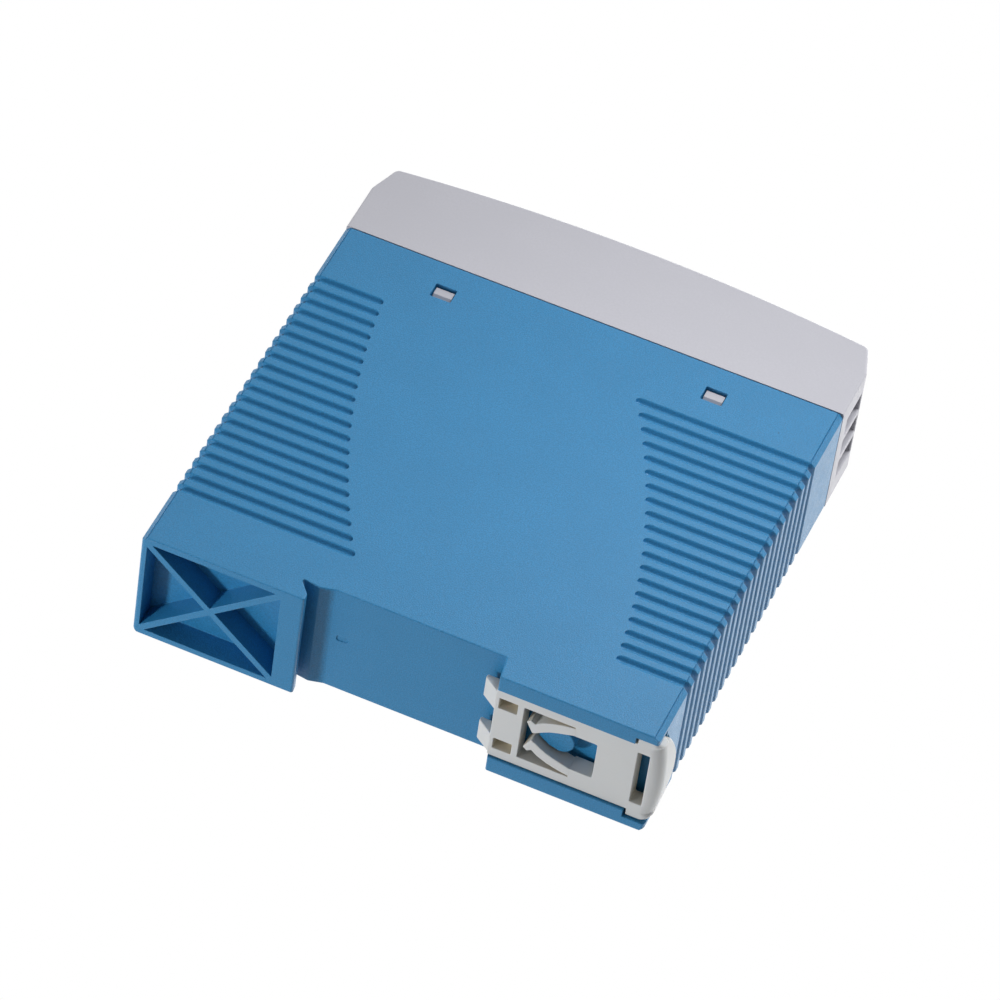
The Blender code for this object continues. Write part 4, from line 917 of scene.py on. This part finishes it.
def make_stage():
    """Pale table under the case, which lies on its +X side; it is seen from above only."""
    bm = bmesh.new()
    reach, clearance = 0.6, 0.4
    x = (HALF_X + clearance) * MM
    corners = [(x, -reach, -reach), (x, reach, -reach), (x, reach, reach), (x, -reach, reach)]
    bm.faces.new([bm.verts.new(c) for c in corners])
    mesh = bpy.data.meshes.new("table")
    bm.to_mesh(mesh)
    bm.free()
    table = bpy.data.objects.new("table", mesh)
    bpy.context.scene.collection.objects.link(table)
    if mesh.polygons[0].normal.x > 0:
        mesh.flip_normals()
    tree = Tree("table")
    glow = tree.nodes.new("ShaderNodeEmission")
    glow.inputs["Color"].default_value = (1.0, 1.0, 1.0, 1.0)
    glow.inputs["Strength"].default_value = 1.0
    clear = tree.nodes.new("ShaderNodeBsdfTransparent")
    pick = tree.nodes.new("ShaderNodeMixShader")
    facing = tree.nodes.new("ShaderNodeNewGeometry").outputs["Backfacing"]
    tree.links.new(facing, pick.inputs[0])
    tree.links.new(glow.outputs[0], pick.inputs[1])
    tree.links.new(clear.outputs[0], pick.inputs[2])
    tree.links.new(pick.outputs[0], tree.nodes["Material Output"].inputs["Surface"])
    mesh.materials.append(tree.material)
    for flag in ("visible_diffuse", "visible_glossy", "visible_transmission", "visible_shadow"):
        setattr(table, flag, False)


TENT_BASE = 0.15
TENT = [  # direction, cosine where a panel starts, cosine where it is full, added strength
    ((0.72, -0.66, -0.2), 0.0, 0.9, 1.6),
    ((-0.72, -0.66, 0.2), 0.4, 0.95, 0.5),
    ((0.3, 0.8, 0.5), 0.6, 0.95, 0.5),
]


def make_world():
    """Light tent: dim all round with three soft bright panels; the camera sees plain white."""
    world = bpy.data.worlds.new("light_tent")
    bpy.context.scene.world = world
    world.use_nodes = True
    nodes, links = world.node_tree.nodes, world.node_tree.links
    nodes.clear()
    out = nodes.new("ShaderNodeOutputWorld")
    tent, plain, pick = (nodes.new(kind) for kind in
                         ("ShaderNodeBackground", "ShaderNodeBackground", "ShaderNodeMixShader"))
    coords = nodes.new("ShaderNodeTexCoord")
    total = None
    for direction, edge, middle, gain in TENT:
        dot = nodes.new("ShaderNodeVectorMath")
        dot.operation = "DOT_PRODUCT"
        links.new(coords.outputs["Generated"], dot.inputs[0])
        dot.inputs[1].default_value = Vector(direction).normalized()
        share = nodes.new("ShaderNodeMapRange")
        share.interpolation_type = "SMOOTHSTEP"
        share.inputs["From Min"].default_value = edge
        share.inputs["From Max"].default_value = middle
        share.inputs["To Min"].default_value = 0.0
        share.inputs["To Max"].default_value = gain
        links.new(dot.outputs["Value"], share.inputs["Value"])
        add = nodes.new("ShaderNodeMath")
        add.operation = "ADD"
        links.new(share.outputs[0], add.inputs[0])
        if total is None:
            add.inputs[1].default_value = TENT_BASE
        else:
            links.new(total, add.inputs[1])
        total = add.outputs[0]
    links.new(total, tent.inputs["Strength"])
    tent.inputs["Color"].default_value = (1.0, 1.0, 1.0, 1.0)
    plain.inputs["Color"].default_value = (1.0, 1.0, 1.0, 1.0)
    rays = nodes.new("ShaderNodeLightPath")
    links.new(rays.outputs["Is Camera Ray"], pick.inputs[0])
    links.new(tent.outputs[0], pick.inputs[1])
    links.new(plain.outputs[0], pick.inputs[2])
    links.new(pick.outputs[0], out.inputs["Surface"])


def soft_box(name, place, aim, size, power, spread=180.0):
    """Disk light that the camera does not see."""
    lamp = bpy.data.lights.new(name, "AREA")
    lamp.shape = "DISK"
    lamp.size = size
    lamp.energy = power
    lamp.spread = math.radians(spread)
    made = bpy.data.objects.new(name, lamp)
    made.location = place
    made.rotation_euler = (Vector(aim) - Vector(place)).to_track_quat("-Z", "Y").to_euler()
    made.visible_camera = False
    bpy.context.scene.collection.objects.link(made)


def make_lights():
    soft_box("key", (-0.25, -0.155, -0.1), (0.0, -0.01, 0.0), 0.12, 0.117, 80.0)
    soft_box("rear_fill", (-0.04, 0.327, 0.26), (0.0, 0.0, 0.01), 0.06, 0.86)


def make_camera():
    """Camera at the photograph's viewing angle, above and behind the case as it lies on its side."""
    eye, target = Vector((-0.8178, 0.7054, -0.2218)), Vector((0.0, -0.0411, 0.0006))
    roll, lens, sensor = -68.83, 248.3, 36.0
    data = bpy.data.cameras.new("camera")
    data.sensor_width = sensor
    data.lens = lens
    data.clip_start, data.clip_end = 0.01, 20.0
    camera = bpy.data.objects.new("camera", data)
    turn = (target - eye).to_track_quat("-Z", "Y").to_matrix().to_4x4()
    camera.matrix_world = Matrix.Translation(eye) @ turn @ Matrix.Rotation(math.radians(roll), 4, "Z")
    bpy.context.scene.collection.objects.link(camera)
    bpy.context.scene.camera = camera


make_case()
make_cover()
make_latch()
make_arms()
make_screws()
make_rotor()
dress_frame()
make_stage()
make_world()
make_lights()
make_camera()
bpy.context.scene.view_settings.view_transform = "Standard"
